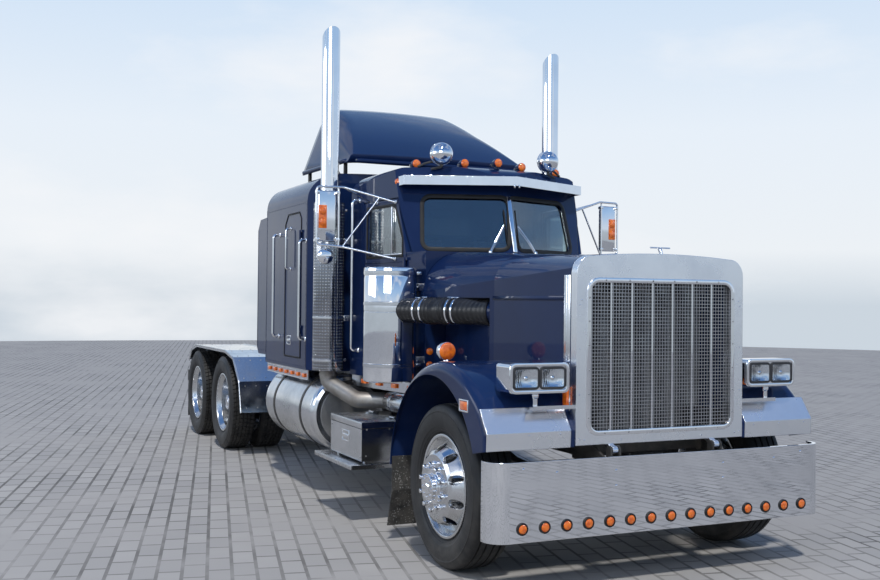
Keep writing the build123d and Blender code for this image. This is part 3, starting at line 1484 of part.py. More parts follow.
make_frame()
make_bumper()
make_power_train()
make_front_axle()
make_knuckles()
make_front_wheels()
make_rear_wheels()
make_drive_axles()
make_tanks()
make_step_boxes()
make_rear_fenders()
make_tail()
make_fifth_wheel()
hood = make_hood()
make_surround()
make_fenders(hood)
make_flaps()
make_front_lamps()
make_cab()
make_visor()
make_roof_lamps()
make_interior()
make_steering_wheel()
make_sleeper()
make_deflector()
make_air_cleaners()
make_stacks()
make_skirts()
make_grab_bars()
make_mirrors()
write_parts()
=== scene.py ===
from math import atan2, cos, hypot, pi, radians, sin, tan
import bmesh
import bpy
from mathutils import Matrix, Vector


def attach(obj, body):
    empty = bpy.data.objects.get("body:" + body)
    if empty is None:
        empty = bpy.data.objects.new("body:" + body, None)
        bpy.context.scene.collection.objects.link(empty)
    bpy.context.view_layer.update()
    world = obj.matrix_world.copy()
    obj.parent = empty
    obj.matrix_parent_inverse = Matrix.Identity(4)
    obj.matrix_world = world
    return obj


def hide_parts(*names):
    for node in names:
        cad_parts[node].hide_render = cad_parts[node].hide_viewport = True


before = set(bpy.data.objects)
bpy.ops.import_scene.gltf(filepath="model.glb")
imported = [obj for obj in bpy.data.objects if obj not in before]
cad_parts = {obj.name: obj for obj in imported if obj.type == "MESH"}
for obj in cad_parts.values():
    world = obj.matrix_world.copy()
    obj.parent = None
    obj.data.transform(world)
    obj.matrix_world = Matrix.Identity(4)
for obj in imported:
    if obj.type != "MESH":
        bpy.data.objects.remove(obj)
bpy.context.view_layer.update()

# Places are metres. They count X from the front axle, and each mesh moves to the model's middle at the end.
AXLE_X = 3.48
SIDES = (("left", 1), ("right", -1))
DRIVE_X = (("front", -5.795), ("rear", -7.165))
STACK = (-2.48, 1.078)
SHIELD_RADIUS = 0.132
CAMERA_TURN = 0.4318
X, Y, Z = Vector((1, 0, 0)), Vector((0, 1, 0)), Vector((0, 0, 1))


# Shapes

def facing(direction, place):
    """The matrix that turns +Z to a direction and moves the start to a place."""
    return Matrix.Translation(place) @ Vector(direction).to_track_quat("Z", "Y").to_matrix().to_4x4()


def soften(bm, edges, width, segments=2):
    bmesh.ops.bevel(bm, geom=edges, offset=width, offset_type="OFFSET", affect="EDGES", segments=segments,
        profile=0.5, material=-1, clamp_overlap=True)


def verts_in(made):
    return [g for g in made if isinstance(g, bmesh.types.BMVert)]


def edges_in(made):
    return [g for g in made if isinstance(g, bmesh.types.BMEdge)]


def edges_of(verts):
    return list(dict.fromkeys(e for v in verts for e in v.link_edges))


def raised(bm, faces, shift, edge=0.0):
    """Lifts faces by a shift, with walls below them, and rounds the new sharp edges."""
    top = verts_in(bmesh.ops.extrude_face_region(bm, geom=faces)["geom"])
    bmesh.ops.translate(bm, verts=top, vec=shift)
    if edge:
        bmesh.ops.recalc_face_normals(bm, faces=bm.faces[:])
        soften(bm, [e for e in edges_of(top) if e.is_manifold and e.calc_face_angle(0) > 0.6], edge)
    return top


def block(bm, low, high, edge=0.0, segments=2):
    low, high = Vector(low), Vector(high)
    size = high - low
    matrix = Matrix.Translation((low + high) / 2) @ Matrix.Diagonal((*size, 1))
    made = bmesh.ops.create_cube(bm, size=1, matrix=matrix)["verts"]
    if edge:
        soften(bm, edges_of(made), edge, segments)


def rod(bm, start, end, radius, end_radius=None, segments=20, edge=0.0):
    start, end = Vector(start), Vector(end)
    run = end - start
    end_radius = radius if end_radius is None else end_radius
    matrix = facing(run, (start + end) / 2)
    made = bmesh.ops.create_cone(bm, cap_ends=True, segments=segments, radius1=radius, radius2=end_radius,
        depth=run.length, matrix=matrix)["verts"]
    if edge:
        rims = [e for e in edges_of(made) if any(len(f.verts) > 4 for f in e.link_faces)]
        soften(bm, rims, edge)


def spun(bm, profile, place, axis=Y, steps=48, closed=False):
    """A round shape from a line of radius and place along the axis."""
    axis = Vector(axis).normalized()
    side = axis.orthogonal().normalized()
    points = [Vector(place) + side * radius + axis * along for radius, along in profile]
    verts = [bm.verts.new(point) for point in points]
    pairs = list(zip(verts, verts[1:])) + ([(verts[-1], verts[0])] if closed else [])
    edges = [bm.edges.new(pair) for pair in pairs]
    bmesh.ops.spin(bm, geom=verts + edges, cent=place, axis=axis, angle=2 * pi, steps=steps, use_merge=True)
    bmesh.ops.remove_doubles(bm, verts=bm.verts, dist=1e-5)


def pipe(bm, points, radius, bend, segments=14, steps=6):
    """A round tube along straight runs, with each corner turned on one radius."""
    points = [Vector(point) for point in points]
    way = (points[1] - points[0]).normalized()
    ring = bmesh.ops.create_circle(bm, cap_ends=False, segments=segments, radius=radius,
        matrix=facing(way, points[0]))["verts"]
    edges = edges_of(ring)
    first = list(edges)
    here = points[0]

    def run_to(edges, shift):
        made = bmesh.ops.extrude_edge_only(bm, edges=edges)["geom"]
        bmesh.ops.translate(bm, verts=verts_in(made), vec=shift)
        return [e for e in edges_in(made) if all(v in made for v in e.verts)]

    for corner, after in zip(points[1:], points[2:]):
        onward = (after - corner).normalized()
        angle = way.angle(onward)
        back = bend * tan(angle / 2)
        stop = corner - way * back
        edges = run_to(edges, stop - here)
        axis = way.cross(onward).normalized()
        centre = stop + axis.cross(way) * bend
        made = bmesh.ops.spin(bm, geom=edges + list(dict.fromkeys(v for e in edges for v in e.verts)),
            cent=centre, axis=axis, angle=angle, steps=steps)["geom_last"]
        edges = edges_in(made)
        here = corner + onward * back
        way = onward
    edges = run_to(edges, points[-1] - here)
    for loop in (first, edges):
        bmesh.ops.contextual_create(bm, geom=loop)


def flat(bm, outline, axis, low, high, edge=0.0, segments=2):
    """A plate between two stations on an axis, from a few corners in the other two."""
    put = {"x": lambda a, b: (low, a, b), "y": lambda a, b: (a, low, b), "z": lambda a, b: (a, b, low)}[axis]
    step = {"x": X, "y": Y, "z": Z}[axis] * (high - low)
    face = bm.faces.new([bm.verts.new(put(a, b)) for a, b in outline])
    verts = raised(bm, [face], step)
    if edge:
        soften(bm, edges_of(verts + face.verts[:]), edge, segments)


def corners_round(width, height, radius, steps=5):
    """The corners of a rounded rectangle about its middle."""
    points = []
    for turn, (a, b) in enumerate(((1, 1), (-1, 1), (-1, -1), (1, -1))):
        for step in range(steps + 1):
            angle = pi / 2 * (turn + step / steps)
            points.append((a * (width / 2 - radius) + radius * cos(angle),
                b * (height / 2 - radius) + radius * sin(angle)))
    return points


def merged(bm, local, matrix=Matrix.Identity(4)):
    """Moves a finished shape into another one."""
    bmesh.ops.transform(local, matrix=matrix, verts=local.verts)
    mesh = bpy.data.meshes.new("merged_form")
    local.to_mesh(mesh)
    local.free()
    bm.from_mesh(mesh)
    bpy.data.meshes.remove(mesh)


def facing_front(x, y, z):
    """Stands a flat shape upright, with its face to the front."""
    return Matrix.Translation((x, y, z)) @ Matrix(((0, 0, 1, 0), (1, 0, 0, 0), (0, 1, 0, 0), (0, 0, 0, 1)))


def ring_frame(bm, width, height, corner, band, depth, matrix, edge=0.0):
    """A raised rounded frame that lies on a plane: the opening's size, and the band round it."""
    local = bmesh.new()
    loops = []
    for grow in (0, band):
        verts = [local.verts.new((a, b, 0)) for a,
            b in corners_round(width + 2 * grow, height + 2 * grow, corner + grow)]
        loops.append([local.edges.new(pair) for pair in zip(verts, verts[1:] + verts[:1])])
    faces = bmesh.ops.bridge_loops(local, edges=loops[0] + loops[1])["faces"]
    raised(local, faces, (0, 0, depth), edge)
    merged(bm, local, matrix)


def heads(bm, places, normal, radius, height, segments=8):
    """Low round heads of rivets or bolts on a surface."""
    normal = Vector(normal).normalized()
    for place in places:
        place = Vector(place)
        rod(bm, place - normal * height / 4, place + normal * height, radius, radius * 0.55, segments)


def along(start, end, count):
    start, end = Vector(start), Vector(end)
    return [start.lerp(end, index / (count - 1)) for index in range(count)]


def circle(place, radius, count, axis=Y, turn=0.0):
    matrix = facing(axis, place)
    return [matrix @ Vector((radius * cos(turn + 2 * pi * i / count), radius * sin(turn + 2 * pi * i / count),
        0)) for i in range(count)]


def other_side(bm):
    """Adds the mirror image across the truck's middle."""
    bmesh.ops.mirror(bm, geom=bm.verts[:] + bm.edges[:] + bm.faces[:], matrix=Matrix.Identity(4),
        merge_dist=-1, axis="Y")


def piece(name, bm, material, body, replaces=(), smooth=35):
    """Makes the finished object, with its place in its mesh, riding on a body."""
    bmesh.ops.translate(bm, verts=bm.verts, vec=(AXLE_X, 0, 0))
    bmesh.ops.recalc_face_normals(bm, faces=bm.faces)
    for face in bm.faces:
        face.smooth = True
    for edge in bm.edges:
        edge.smooth = len(edge.link_faces) != 2 or edge.calc_face_angle(0) < radians(smooth)
    mesh = bpy.data.meshes.new(name)
    bm.to_mesh(mesh)
    bm.free()
    made = bpy.data.objects.new(name, mesh)
    bpy.context.scene.collection.objects.link(made)
    mesh.materials.append(material)
    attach(made, body)
    if replaces:
        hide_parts(*replaces)
    return made


def sided(material, body, smooth=35, replaces=()):
    """Makes the same piece on the left and on the right, each on its own body, with the function's name."""
    def make(build):
        for side, sign in SIDES:
            bm = bmesh.new()
            build(bm)
            if sign < 0:
                bmesh.ops.scale(bm, verts=bm.verts, vec=(1, -1, 1))
                bmesh.ops.reverse_faces(bm, faces=bm.faces)
            stands_for = tuple(name.format(side) for name in replaces)
            piece(build.__name__ + "_" + side, bm, material, body.format(side), stands_for, smooth)
    return make


def paired(material, body, smooth=35, replaces=()):
    """Makes one piece with its two halves on the two sides of the truck, with the function's name."""
    def make(build):
        bm = bmesh.new()
        build(bm)
        other_side(bm)
        piece(build.__name__, bm, material, body, replaces, smooth)
    return make


# Materials

def feed(tree, made, inputs):
    for key, value in inputs.items():
        if isinstance(value, bpy.types.NodeSocket):
            tree.links.new(value, made.inputs[key])
        else:
            made.inputs[key].default_value = value


def node(tree, kind, inputs=None, **settings):
    made = tree.nodes.new("ShaderNode" + kind)
    for key, value in settings.items():
        setattr(made, key, value)
    feed(tree, made, inputs or {})
    return made


def maths(tree, operation, *values, clamp=False):
    return node(tree, "Math", dict(enumerate(values)), operation=operation, use_clamp=clamp).outputs[0]


def remap(tree, value, low=0.0, high=1.0, to_low=0.0, to_high=1.0):
    ends = {"From Min": low, "From Max": high, "To Min": to_low, "To Max": to_high}
    return node(tree, "MapRange", {"Value": value, **ends}).outputs["Result"]


def mix(tree, mask, first, second):
    """Two colours by a mask: sockets, or red, green and blue."""
    sides = [side if isinstance(side, bpy.types.NodeSocket) else (*side, 1.0) for side in (first, second)]
    return node(tree, "Mix", {0: mask, 6: sides[0], 7: sides[1]}, data_type="RGBA").outputs[2]


def noise(tree, place, scale, detail, roughness=0.5):
    takes = {"Vector": place, "Scale": scale, "Detail": detail, "Roughness": roughness}
    return node(tree, "TexNoise", takes).outputs["Fac"]


def bands(tree, place, scale, axis, distortion=0.0):
    """Soft waves from 0 to 1 along an axis."""
    takes = {"Vector": place, "Scale": scale, "Distortion": distortion}
    return node(tree, "TexWave", takes, wave_type="BANDS", bands_direction=axis).outputs["Fac"]


def mapped(tree, place, scale=(1, 1, 1), turn=(0, 0, 0)):
    return node(tree, "Mapping", {"Vector": place, "Rotation": turn, "Scale": scale}).outputs[0]


def split(tree, place):
    return node(tree, "SeparateXYZ", {"Vector": place}).outputs


def effect(gives, **takes):
    """Makes a shader node group that the function fills, from a place and named values to one value."""
    def make(build):
        tree = bpy.data.node_groups.new(build.__name__, "ShaderNodeTree")
        tree.interface.new_socket("Place", in_out="INPUT", socket_type="NodeSocketVector")
        for label, value in takes.items():
            kind = "NodeSocketFloat" if isinstance(value, float) else "NodeSocketVector"
            tree.interface.new_socket(label, in_out="INPUT", socket_type=kind).default_value = value
        tree.interface.new_socket(gives, in_out="OUTPUT", socket_type="NodeSocketFloat")
        given = build(tree, tree.nodes.new("NodeGroupInput").outputs)
        tree.links.new(given, tree.nodes.new("NodeGroupOutput").inputs[gives])
        return tree
    return make


@effect("Mask", Scale=3.0, Low=0.4, High=0.65)
def blotches(tree, take):
    """Soft uneven patches: 0 to 1 over the surface."""
    return remap(tree, noise(tree, take["Place"], take["Scale"], 5.0, 0.6), take["Low"], take["High"])


@effect("Mask", Top=1.0, Amount=0.5)
def road_dust(tree, take):
    """Dust that is thick near the road and gone above a height."""
    fall = remap(tree, split(tree, take["Place"])["Z"], 0.1, take["Top"], 1.0, 0.0)
    patch = remap(tree, noise(tree, take["Place"], 9.0, 6.0, 0.7), 0.35, 0.7)
    return maths(tree, "MULTIPLY", maths(tree, "MULTIPLY", fall, patch), take["Amount"])


@effect("Height", Scale=200.0)
def fine_grain(tree, take):
    """Fine uneven height, such as orange peel, casting skin or the grain of rubber."""
    return noise(tree, take["Place"], take["Scale"], 3.0, 0.55)


@effect("Height", Stretch=(1.0, 1.0, 1.0))
def rolled_marks(tree, take):
    """Long fine marks of rolling or brushing. Stretch sets their run on each axis."""
    place = node(tree, "VectorMath", {0: take["Place"], 1: take["Stretch"]}, operation="MULTIPLY").outputs[0]
    return noise(tree, place, 1.0, 4.0, 0.6)


@effect("Height", Pitch=0.03)
def lozenges(tree, take):
    """Raised lozenges of tread plate, in the two directions across a normal."""
    place = split(tree, take["Place"])
    waves = []
    for sign in (1.0, -1.0):
        across = maths(tree, "MULTIPLY_ADD", place["Y"], sign, place["X"])
        angle = maths(tree, "MULTIPLY", maths(tree, "DIVIDE", across, take["Pitch"]), 2 * pi)
        waves.append(maths(tree, "SINE", angle))
    return remap(tree, maths(tree, "MULTIPLY", *waves), 0.35, 0.75)


DUST_COLOR = (0.3, 0.27, 0.23)


def placed(tree, group, **inputs):
    made = node(tree, "Group", node_tree=group)
    feed(tree, made, inputs)
    return made.outputs[0]


def centred(tree, origin=(0, 0, 0)):
    """Object coordinates, moved so that a pattern starts at an origin."""
    place = node(tree, "TexCoord").outputs["Object"]
    start = Vector(origin) + AXLE_X * X if any(origin) else Vector()
    return node(tree, "VectorMath", {0: place, 1: start}, operation="SUBTRACT").outputs[0]


def surface(name, color, second, rough, blotch=3.0, dust=0.0, dust_top=1.0, grain=250.0, depth=0.0003,
        pattern=None, corner=0.0, **sockets):
    """A finish: two near colours in soft patches, uneven gloss, dust near the road and a fine height.

    pattern takes the node tree and gives a height from 0 to 1, its depth in metres, a mask and its colour.
    The last two may be None."""
    made = bpy.data.materials.new(name)
    made.use_nodes = True
    tree = made.node_tree
    shader = tree.nodes["Principled BSDF"]
    place = centred(tree)
    mask = placed(tree, blotches, Place=place, Scale=blotch)
    base = mix(tree, mask, color, second)
    gloss = remap(tree, mask, to_low=rough[0], to_high=rough[1])
    bumps = [node(tree, "Bevel", {"Radius": corner}, samples=4)] if corner else []

    def add_bump(height, deep, strength):
        under = {"Normal": bumps[-1].outputs["Normal"]} if bumps else {}
        bumps.append(node(tree, "Bump", {"Height": height, "Distance": deep, "Strength": strength, **under}))

    if pattern:
        height, deep, cover, cover_color = pattern(tree)
        if cover:
            base = mix(tree, cover, base, cover_color)
        add_bump(height, deep, 1.0)
    if dust:
        veil = placed(tree, road_dust, Place=place, Top=dust_top, Amount=dust)
        base = mix(tree, veil, base, DUST_COLOR)
        gloss = maths(tree, "MULTIPLY_ADD", veil, 0.5, gloss, clamp=True)
    add_bump(placed(tree, fine_grain, Place=place, Scale=grain), depth, 0.6)
    feed(tree, shader, {"Base Color": base, "Roughness": gloss, "Normal": bumps[-1].outputs["Normal"]})
    feed(tree, shader, {key.replace("_", " "): value for key, value in sockets.items()})
    return made


def brushed_along(stretch, depth):
    def pattern(tree):
        return placed(tree, rolled_marks, Place=centred(tree), Stretch=stretch), depth, None, None
    return pattern


def dimpled(tree):
    """Rows of small pressed lozenges round the heat shields, with painted shade in the low ground between
    them.
    """
    place = split(tree, centred(tree, (STACK[0], 0, 1.08)))
    out = maths(tree, "SUBTRACT", maths(tree, "ABSOLUTE", place["Y"]), STACK[1])
    arc = maths(tree, "MULTIPLY", maths(tree, "ARCTAN2", out, place["X"]), SHIELD_RADIUS)
    unrolled = node(tree, "CombineXYZ", {"X": arc, "Y": place["Z"]}).outputs[0]
    height = placed(tree, lozenges, Place=unrolled, Pitch=0.0518)
    # The mask mixes painted shade, a dark grey, into the low ground between the lozenges.
    return height, 0.007, remap(tree, height, to_low=0.8, to_high=0.0), (0.17, 0.18, 0.2)


def tread_plate(tree):
    return placed(tree, lozenges, Place=centred(tree), Pitch=0.045), 0.002, None, None


def stone_chips(tree):
    """Dried splashes: many small pale specks."""
    place = centred(tree)
    cells = node(tree, "TexVoronoi", {"Vector": place, "Scale": 70.0, "Randomness": 1.0}).outputs["Distance"]
    spots = remap(tree, cells, 0.34, 0.22)
    patches = placed(tree, blotches, Place=place, Scale=14.0, Low=0.42, High=0.6)
    return spots, 0.0008, maths(tree, "MULTIPLY", spots, patches), (0.25, 0.25, 0.245)


def radial_ribs(count, depth):
    """Straight prism ribs down a lens."""
    def pattern(tree):
        return bands(tree, centred(tree), count, "Y"), depth, None, None
    return pattern


def hose_ribs(tree):
    return bands(tree, centred(tree), 9.0, "X"), 0.002, None, None


def woven(tree):
    """A plain weave: crossed fine bands, with small colour changes from thread to thread."""
    place = centred(tree)
    along_x, along_z, along_y = (bands(tree, place, 120.0, way, 0.4) for way in "XZY")
    height = maths(tree, "MULTIPLY", maths(tree, "MAXIMUM", along_x, along_z), along_y)
    flecks = placed(tree, blotches, Place=place, Scale=160.0, Low=0.45, High=0.62)
    return height, 0.0012, flecks, (0.055, 0.06, 0.075)


def fin_stack(tree):
    """The thin fins and tubes of a cooler core, with painted shade in the gaps between the tubes."""
    place = centred(tree)
    tubes = bands(tree, place, 16.0, "Y")
    height = maths(tree, "MAXIMUM", bands(tree, place, 60.0, "Z"), tubes)
    # The mask mixes painted shade, near black, into the gaps between the tubes.
    return height, 0.003, remap(tree, tubes, 0.55, 0.35), (0.02, 0.02, 0.022)


def tyre_marks(tree):
    """Fine rings in the rubber of the walls."""
    return noise(tree, mapped(tree, centred(tree), (3.0, 220.0, 3.0)), 1.0, 3.0), 0.0012, None, None


def greasy(tree):
    """Grease smeared over a plate, thicker in patches."""
    smear = noise(tree, mapped(tree, centred(tree), (2.0, 14.0, 1.0)), 3.0, 5.0)
    return smear, 0.003, remap(tree, smear, 0.5, 0.62), (0.012, 0.011, 0.01)


NAVY = surface("navy_paint", (0.0045, 0.0145, 0.06), (0.0065, 0.02, 0.076), (0.35, 0.45), blotch=1.2,
    dust=0.04, dust_top=1.2, grain=900.0, depth=0.00003, corner=0.012, Coat_Weight=0.9, Coat_Roughness=0.015,
    Coat_IOR=1.36, Specular_IOR_Level=0.05)
CHROME = surface("chrome", (0.86, 0.87, 0.89), (0.8, 0.81, 0.83), (0.02, 0.06), blotch=5.0, dust=0.06,
    dust_top=0.7, grain=40.0, depth=0.00006, corner=0.002, Metallic=1.0)
BUMPER_CHROME = surface("bumper_chrome", (0.84, 0.85, 0.87), (0.76, 0.77, 0.79), (0.012, 0.04), blotch=3.0,
    dust=0.05, dust_top=0.6, grain=3.0, depth=0.0003, corner=0.004, Metallic=1.0)
STAINLESS = surface("brushed_stainless", (0.76, 0.77, 0.79), (0.68, 0.69, 0.71), (0.08, 0.15), blotch=2.5,
    dust=0.03, dust_top=1.0, pattern=brushed_along((40.0, 40.0, 900.0), 0.0001), corner=0.004, Metallic=1.0)
SURROUND_METAL = surface("satin_brightwork", (0.88, 0.89, 0.91), (0.8, 0.81, 0.83), (0.24, 0.32), blotch=2.5,
    dust=0.03, dust_top=1.0, pattern=brushed_along((40.0, 40.0, 900.0), 0.0001), corner=0.006, Metallic=1.0)
POLISHED = surface("polished_aluminium", (0.72, 0.73, 0.74), (0.6, 0.61, 0.62), (0.1, 0.24), blotch=4.0,
    dust=0.35, dust_top=0.9, pattern=brushed_along((60.0, 700.0, 60.0), 0.00012), grain=60.0, depth=0.0002,
    corner=0.003, Metallic=1.0)
TANK_METAL = surface("tank_aluminium", (0.7, 0.71, 0.72), (0.55, 0.56, 0.57), (0.12, 0.26), blotch=2.0,
    dust=0.3, dust_top=0.9, pattern=brushed_along((4.0, 220.0, 220.0), 0.0002), grain=5.0, depth=0.003,
    Metallic=1.0)
DULL_METAL = surface("dull_aluminium", (0.42, 0.42, 0.42), (0.3, 0.3, 0.3), (0.35, 0.55), blotch=6.0,
    dust=0.35, dust_top=1.0, grain=180.0, depth=0.0006, corner=0.003, Metallic=0.9)
SHIELD_METAL = surface("dimpled_shield", (0.78, 0.79, 0.81), (0.66, 0.67, 0.69), (0.07, 0.16), blotch=5.0,
    pattern=dimpled, Metallic=1.0)
STEP_METAL = surface("tread_plate", (0.66, 0.67, 0.68), (0.5, 0.51, 0.52), (0.2, 0.35), blotch=6.0, dust=0.4,
    dust_top=0.9, pattern=tread_plate, corner=0.002, Metallic=1.0)
PIPE_GREY = surface("pipe_grey", (0.33, 0.32, 0.3), (0.24, 0.22, 0.2), (0.4, 0.55), blotch=8.0, dust=0.3,
    dust_top=1.1, grain=160.0, depth=0.0006, Metallic=0.8)
BLACK_STEEL = surface("black_steel", (0.012, 0.012, 0.013), (0.022, 0.021, 0.02), (0.35, 0.6), blotch=7.0,
    dust=0.45, dust_top=1.1, grain=220.0, depth=0.0005, corner=0.003)
IRON = surface("engine_iron", (0.055, 0.06, 0.065), (0.035, 0.035, 0.036), (0.45, 0.65), blotch=8.0, dust=0.3,
    dust_top=1.6, grain=160.0, depth=0.0012, corner=0.006, Metallic=0.4)
RUBBER = surface("black_rubber", (0.01, 0.01, 0.011), (0.018, 0.018, 0.018), (0.4, 0.6), blotch=9.0,
    dust=0.08, dust_top=0.7, grain=350.0, depth=0.0005, Specular_IOR_Level=0.25)
HOSE = surface("ribbed_hose", (0.008, 0.008, 0.009), (0.014, 0.014, 0.015), (0.28, 0.42), blotch=9.0,
    pattern=hose_ribs, grain=350.0, depth=0.0003)
SPLASHED = surface("splashed_rubber", (0.014, 0.014, 0.014), (0.028, 0.028, 0.027), (0.5, 0.75), blotch=6.0,
    dust=0.3, dust_top=1.0, pattern=stone_chips, grain=250.0, depth=0.0008)
TYRE = surface("tyre_rubber", (0.009, 0.009, 0.0095), (0.015, 0.0148, 0.0145), (0.48, 0.66), blotch=7.0,
    dust=0.16, dust_top=0.6, pattern=tyre_marks, grain=260.0, depth=0.0005)
GLASS = surface("window_glass", (0.62, 0.72, 0.7), (0.55, 0.66, 0.64), (0.0, 0.02), blotch=1.5, grain=2.0,
    depth=0.0002, Transmission_Weight=1.0, IOR=1.5, Coat_Weight=1.0, Coat_Roughness=0.01, Coat_IOR=1.9)
LENS = surface("clear_lens", (0.92, 0.94, 0.95), (0.86, 0.88, 0.9), (0.02, 0.05), blotch=8.0,
    pattern=radial_ribs(22.0, 0.0008), Transmission_Weight=1.0, IOR=1.45)
AMBER = surface("amber_lens", (0.86, 0.19, 0.006), (0.52, 0.07, 0.003), (0.12, 0.2), blotch=34.0,
    pattern=radial_ribs(60.0, 0.0016), Coat_Weight=1.0, Coat_Roughness=0.04,
    Emission_Color=(1.0, 0.2, 0.006, 1.0), Emission_Strength=0.08)
RED_LENS = surface("red_lens", (0.5, 0.012, 0.01), (0.38, 0.008, 0.007), (0.12, 0.2), blotch=20.0,
    pattern=radial_ribs(45.0, 0.0006), Coat_Weight=1.0, Coat_Roughness=0.05)
CLOTH = surface("seat_cloth", (0.1, 0.11, 0.14), (0.075, 0.08, 0.105), (0.8, 0.95), blotch=6.0, pattern=woven,
    grain=500.0, depth=0.0006, Sheen_Weight=0.3, Sheen_Roughness=0.5)
PLASTIC = surface("dark_plastic", (0.018, 0.019, 0.022), (0.028, 0.029, 0.032), (0.4, 0.6), blotch=7.0,
    grain=600.0, depth=0.0004, corner=0.006)
CORE = surface("cooler_core", (0.35, 0.35, 0.35), (0.22, 0.22, 0.22), (0.4, 0.6), blotch=7.0,
    pattern=fin_stack, Metallic=0.8)
MESH_METAL = surface("mesh_metal", (0.42, 0.42, 0.43), (0.32, 0.31, 0.31), (0.28, 0.42), blotch=9.0, dust=0.2,
    dust_top=1.6, grain=500.0, depth=0.0003, Metallic=1.0)
MIRROR_FACE = surface("mirror_glass", (0.86, 0.88, 0.89), (0.82, 0.84, 0.85), (0.0, 0.02), blotch=3.0,
    grain=1.0, depth=0.0001, Metallic=1.0)
GREASED = surface("greased_steel", (0.035, 0.033, 0.031), (0.055, 0.05, 0.045), (0.25, 0.45), blotch=6.0,
    pattern=greasy, Metallic=0.7)
# Near black, for painted shade: a flat sheet stands for the shade inside a recess.
PAINTED_SHADE = surface("painted_shade_in_gap", (0.006, 0.006, 0.006), (0.01, 0.01, 0.01), (0.6, 0.8), blotch=9.0)

CAD_FINISHES = {NAVY: ("cab_shell", "door_left", "door_right", "sleeper_shell", "sleeper_door",
    "side_extenders", "roof_deflector", "hood_shell", "front_fenders"), BUMPER_CHROME: ("front_bumper",),
    CHROME: ("exhaust_stacks", "air_cleaners", "sun_visor", "mirror_left", "mirror_right", "front_lamps",
    "grab_bars"), SURROUND_METAL: ("hood_brightwork",), STAINLESS: ("lower_skirts",), POLISHED: ("step_boxes",
    "box_lid_left", "box_lid_right", "rear_fenders_and_deck", "front_rim_left", "front_rim_right",
    "drive_rims_front_left", "drive_rims_front_right", "drive_rims_rear_left", "drive_rims_rear_right"),
    TANK_METAL: ("side_tanks",), MESH_METAL: ("grille_screen",), CORE: ("radiator",),
    BLACK_STEEL: ("frame_rails", "front_axle", "drive_axles", "knuckle_left", "knuckle_right", "tie_rod",
    "fifth_wheel_base", "tail_bar"), GREASED: ("fifth_wheel_plate",), IRON: ("engine_block",),
    RUBBER: ("mud_flaps", "cab_boot"), HOSE: ("intake_pipes",), SPLASHED: ("splash_flaps",),
    TYRE: ("front_tyre_left", "front_tyre_right", "drive_tyres_front_left", "drive_tyres_front_right",
    "drive_tyres_rear_left", "drive_tyres_rear_right"),
    GLASS: ("cab_glass", "door_glass_left", "door_glass_right"), AMBER: ("marker_lamps",),
    CLOTH: ("seats_and_bunk",), PLASTIC: ("cab_interior", "steering_wheel"),}


def finish_cad():
    for material, names in CAD_FINISHES.items():
        for name in names:
            mesh = bpy.data.objects[name].data
            mesh.materials.clear()
            mesh.materials.append(material)


# Camera, light and floor

def make_view():
    bpy.context.scene.view_settings.view_transform = "Standard"
    turn, tilt, roll = CAMERA_TURN, 0.0115, 0.0101
    ahead = Vector((-cos(turn) * cos(tilt), sin(turn) * cos(tilt), sin(tilt)))
    right = ahead.cross(Z).normalized()
    up = right.cross(ahead)
    right, up = right * cos(roll) + up * sin(roll), up * cos(roll) - right * sin(roll)
    camera = bpy.data.objects.new("view", bpy.data.cameras.new("view"))
    axes = Matrix((right, up, -ahead)).transposed().to_4x4()
    camera.matrix_world = Matrix.Translation((9.423, -3.9201, 1.6695)) @ axes
    camera.data.lens = 42.66
    camera.data.sensor_width = 36.0
    camera.data.sensor_fit = "HORIZONTAL"
    camera.data.dof.use_dof = False
    camera.data.clip_end = 400.0
    bpy.context.scene.collection.objects.link(camera)
    bpy.context.scene.camera = camera


def ramp(tree, value, first, last, between):
    """Colours along a value from 0 to 1."""
    made = node(tree, "ValToRGB", {"Fac": value})
    elements = made.color_ramp.elements
    elements[0].color = (*first, 1.0)
    elements[1].color = (*last, 1.0)
    for at, color in between:
        elements.new(at).color = (*color, 1.0)
    return made.outputs["Color"]


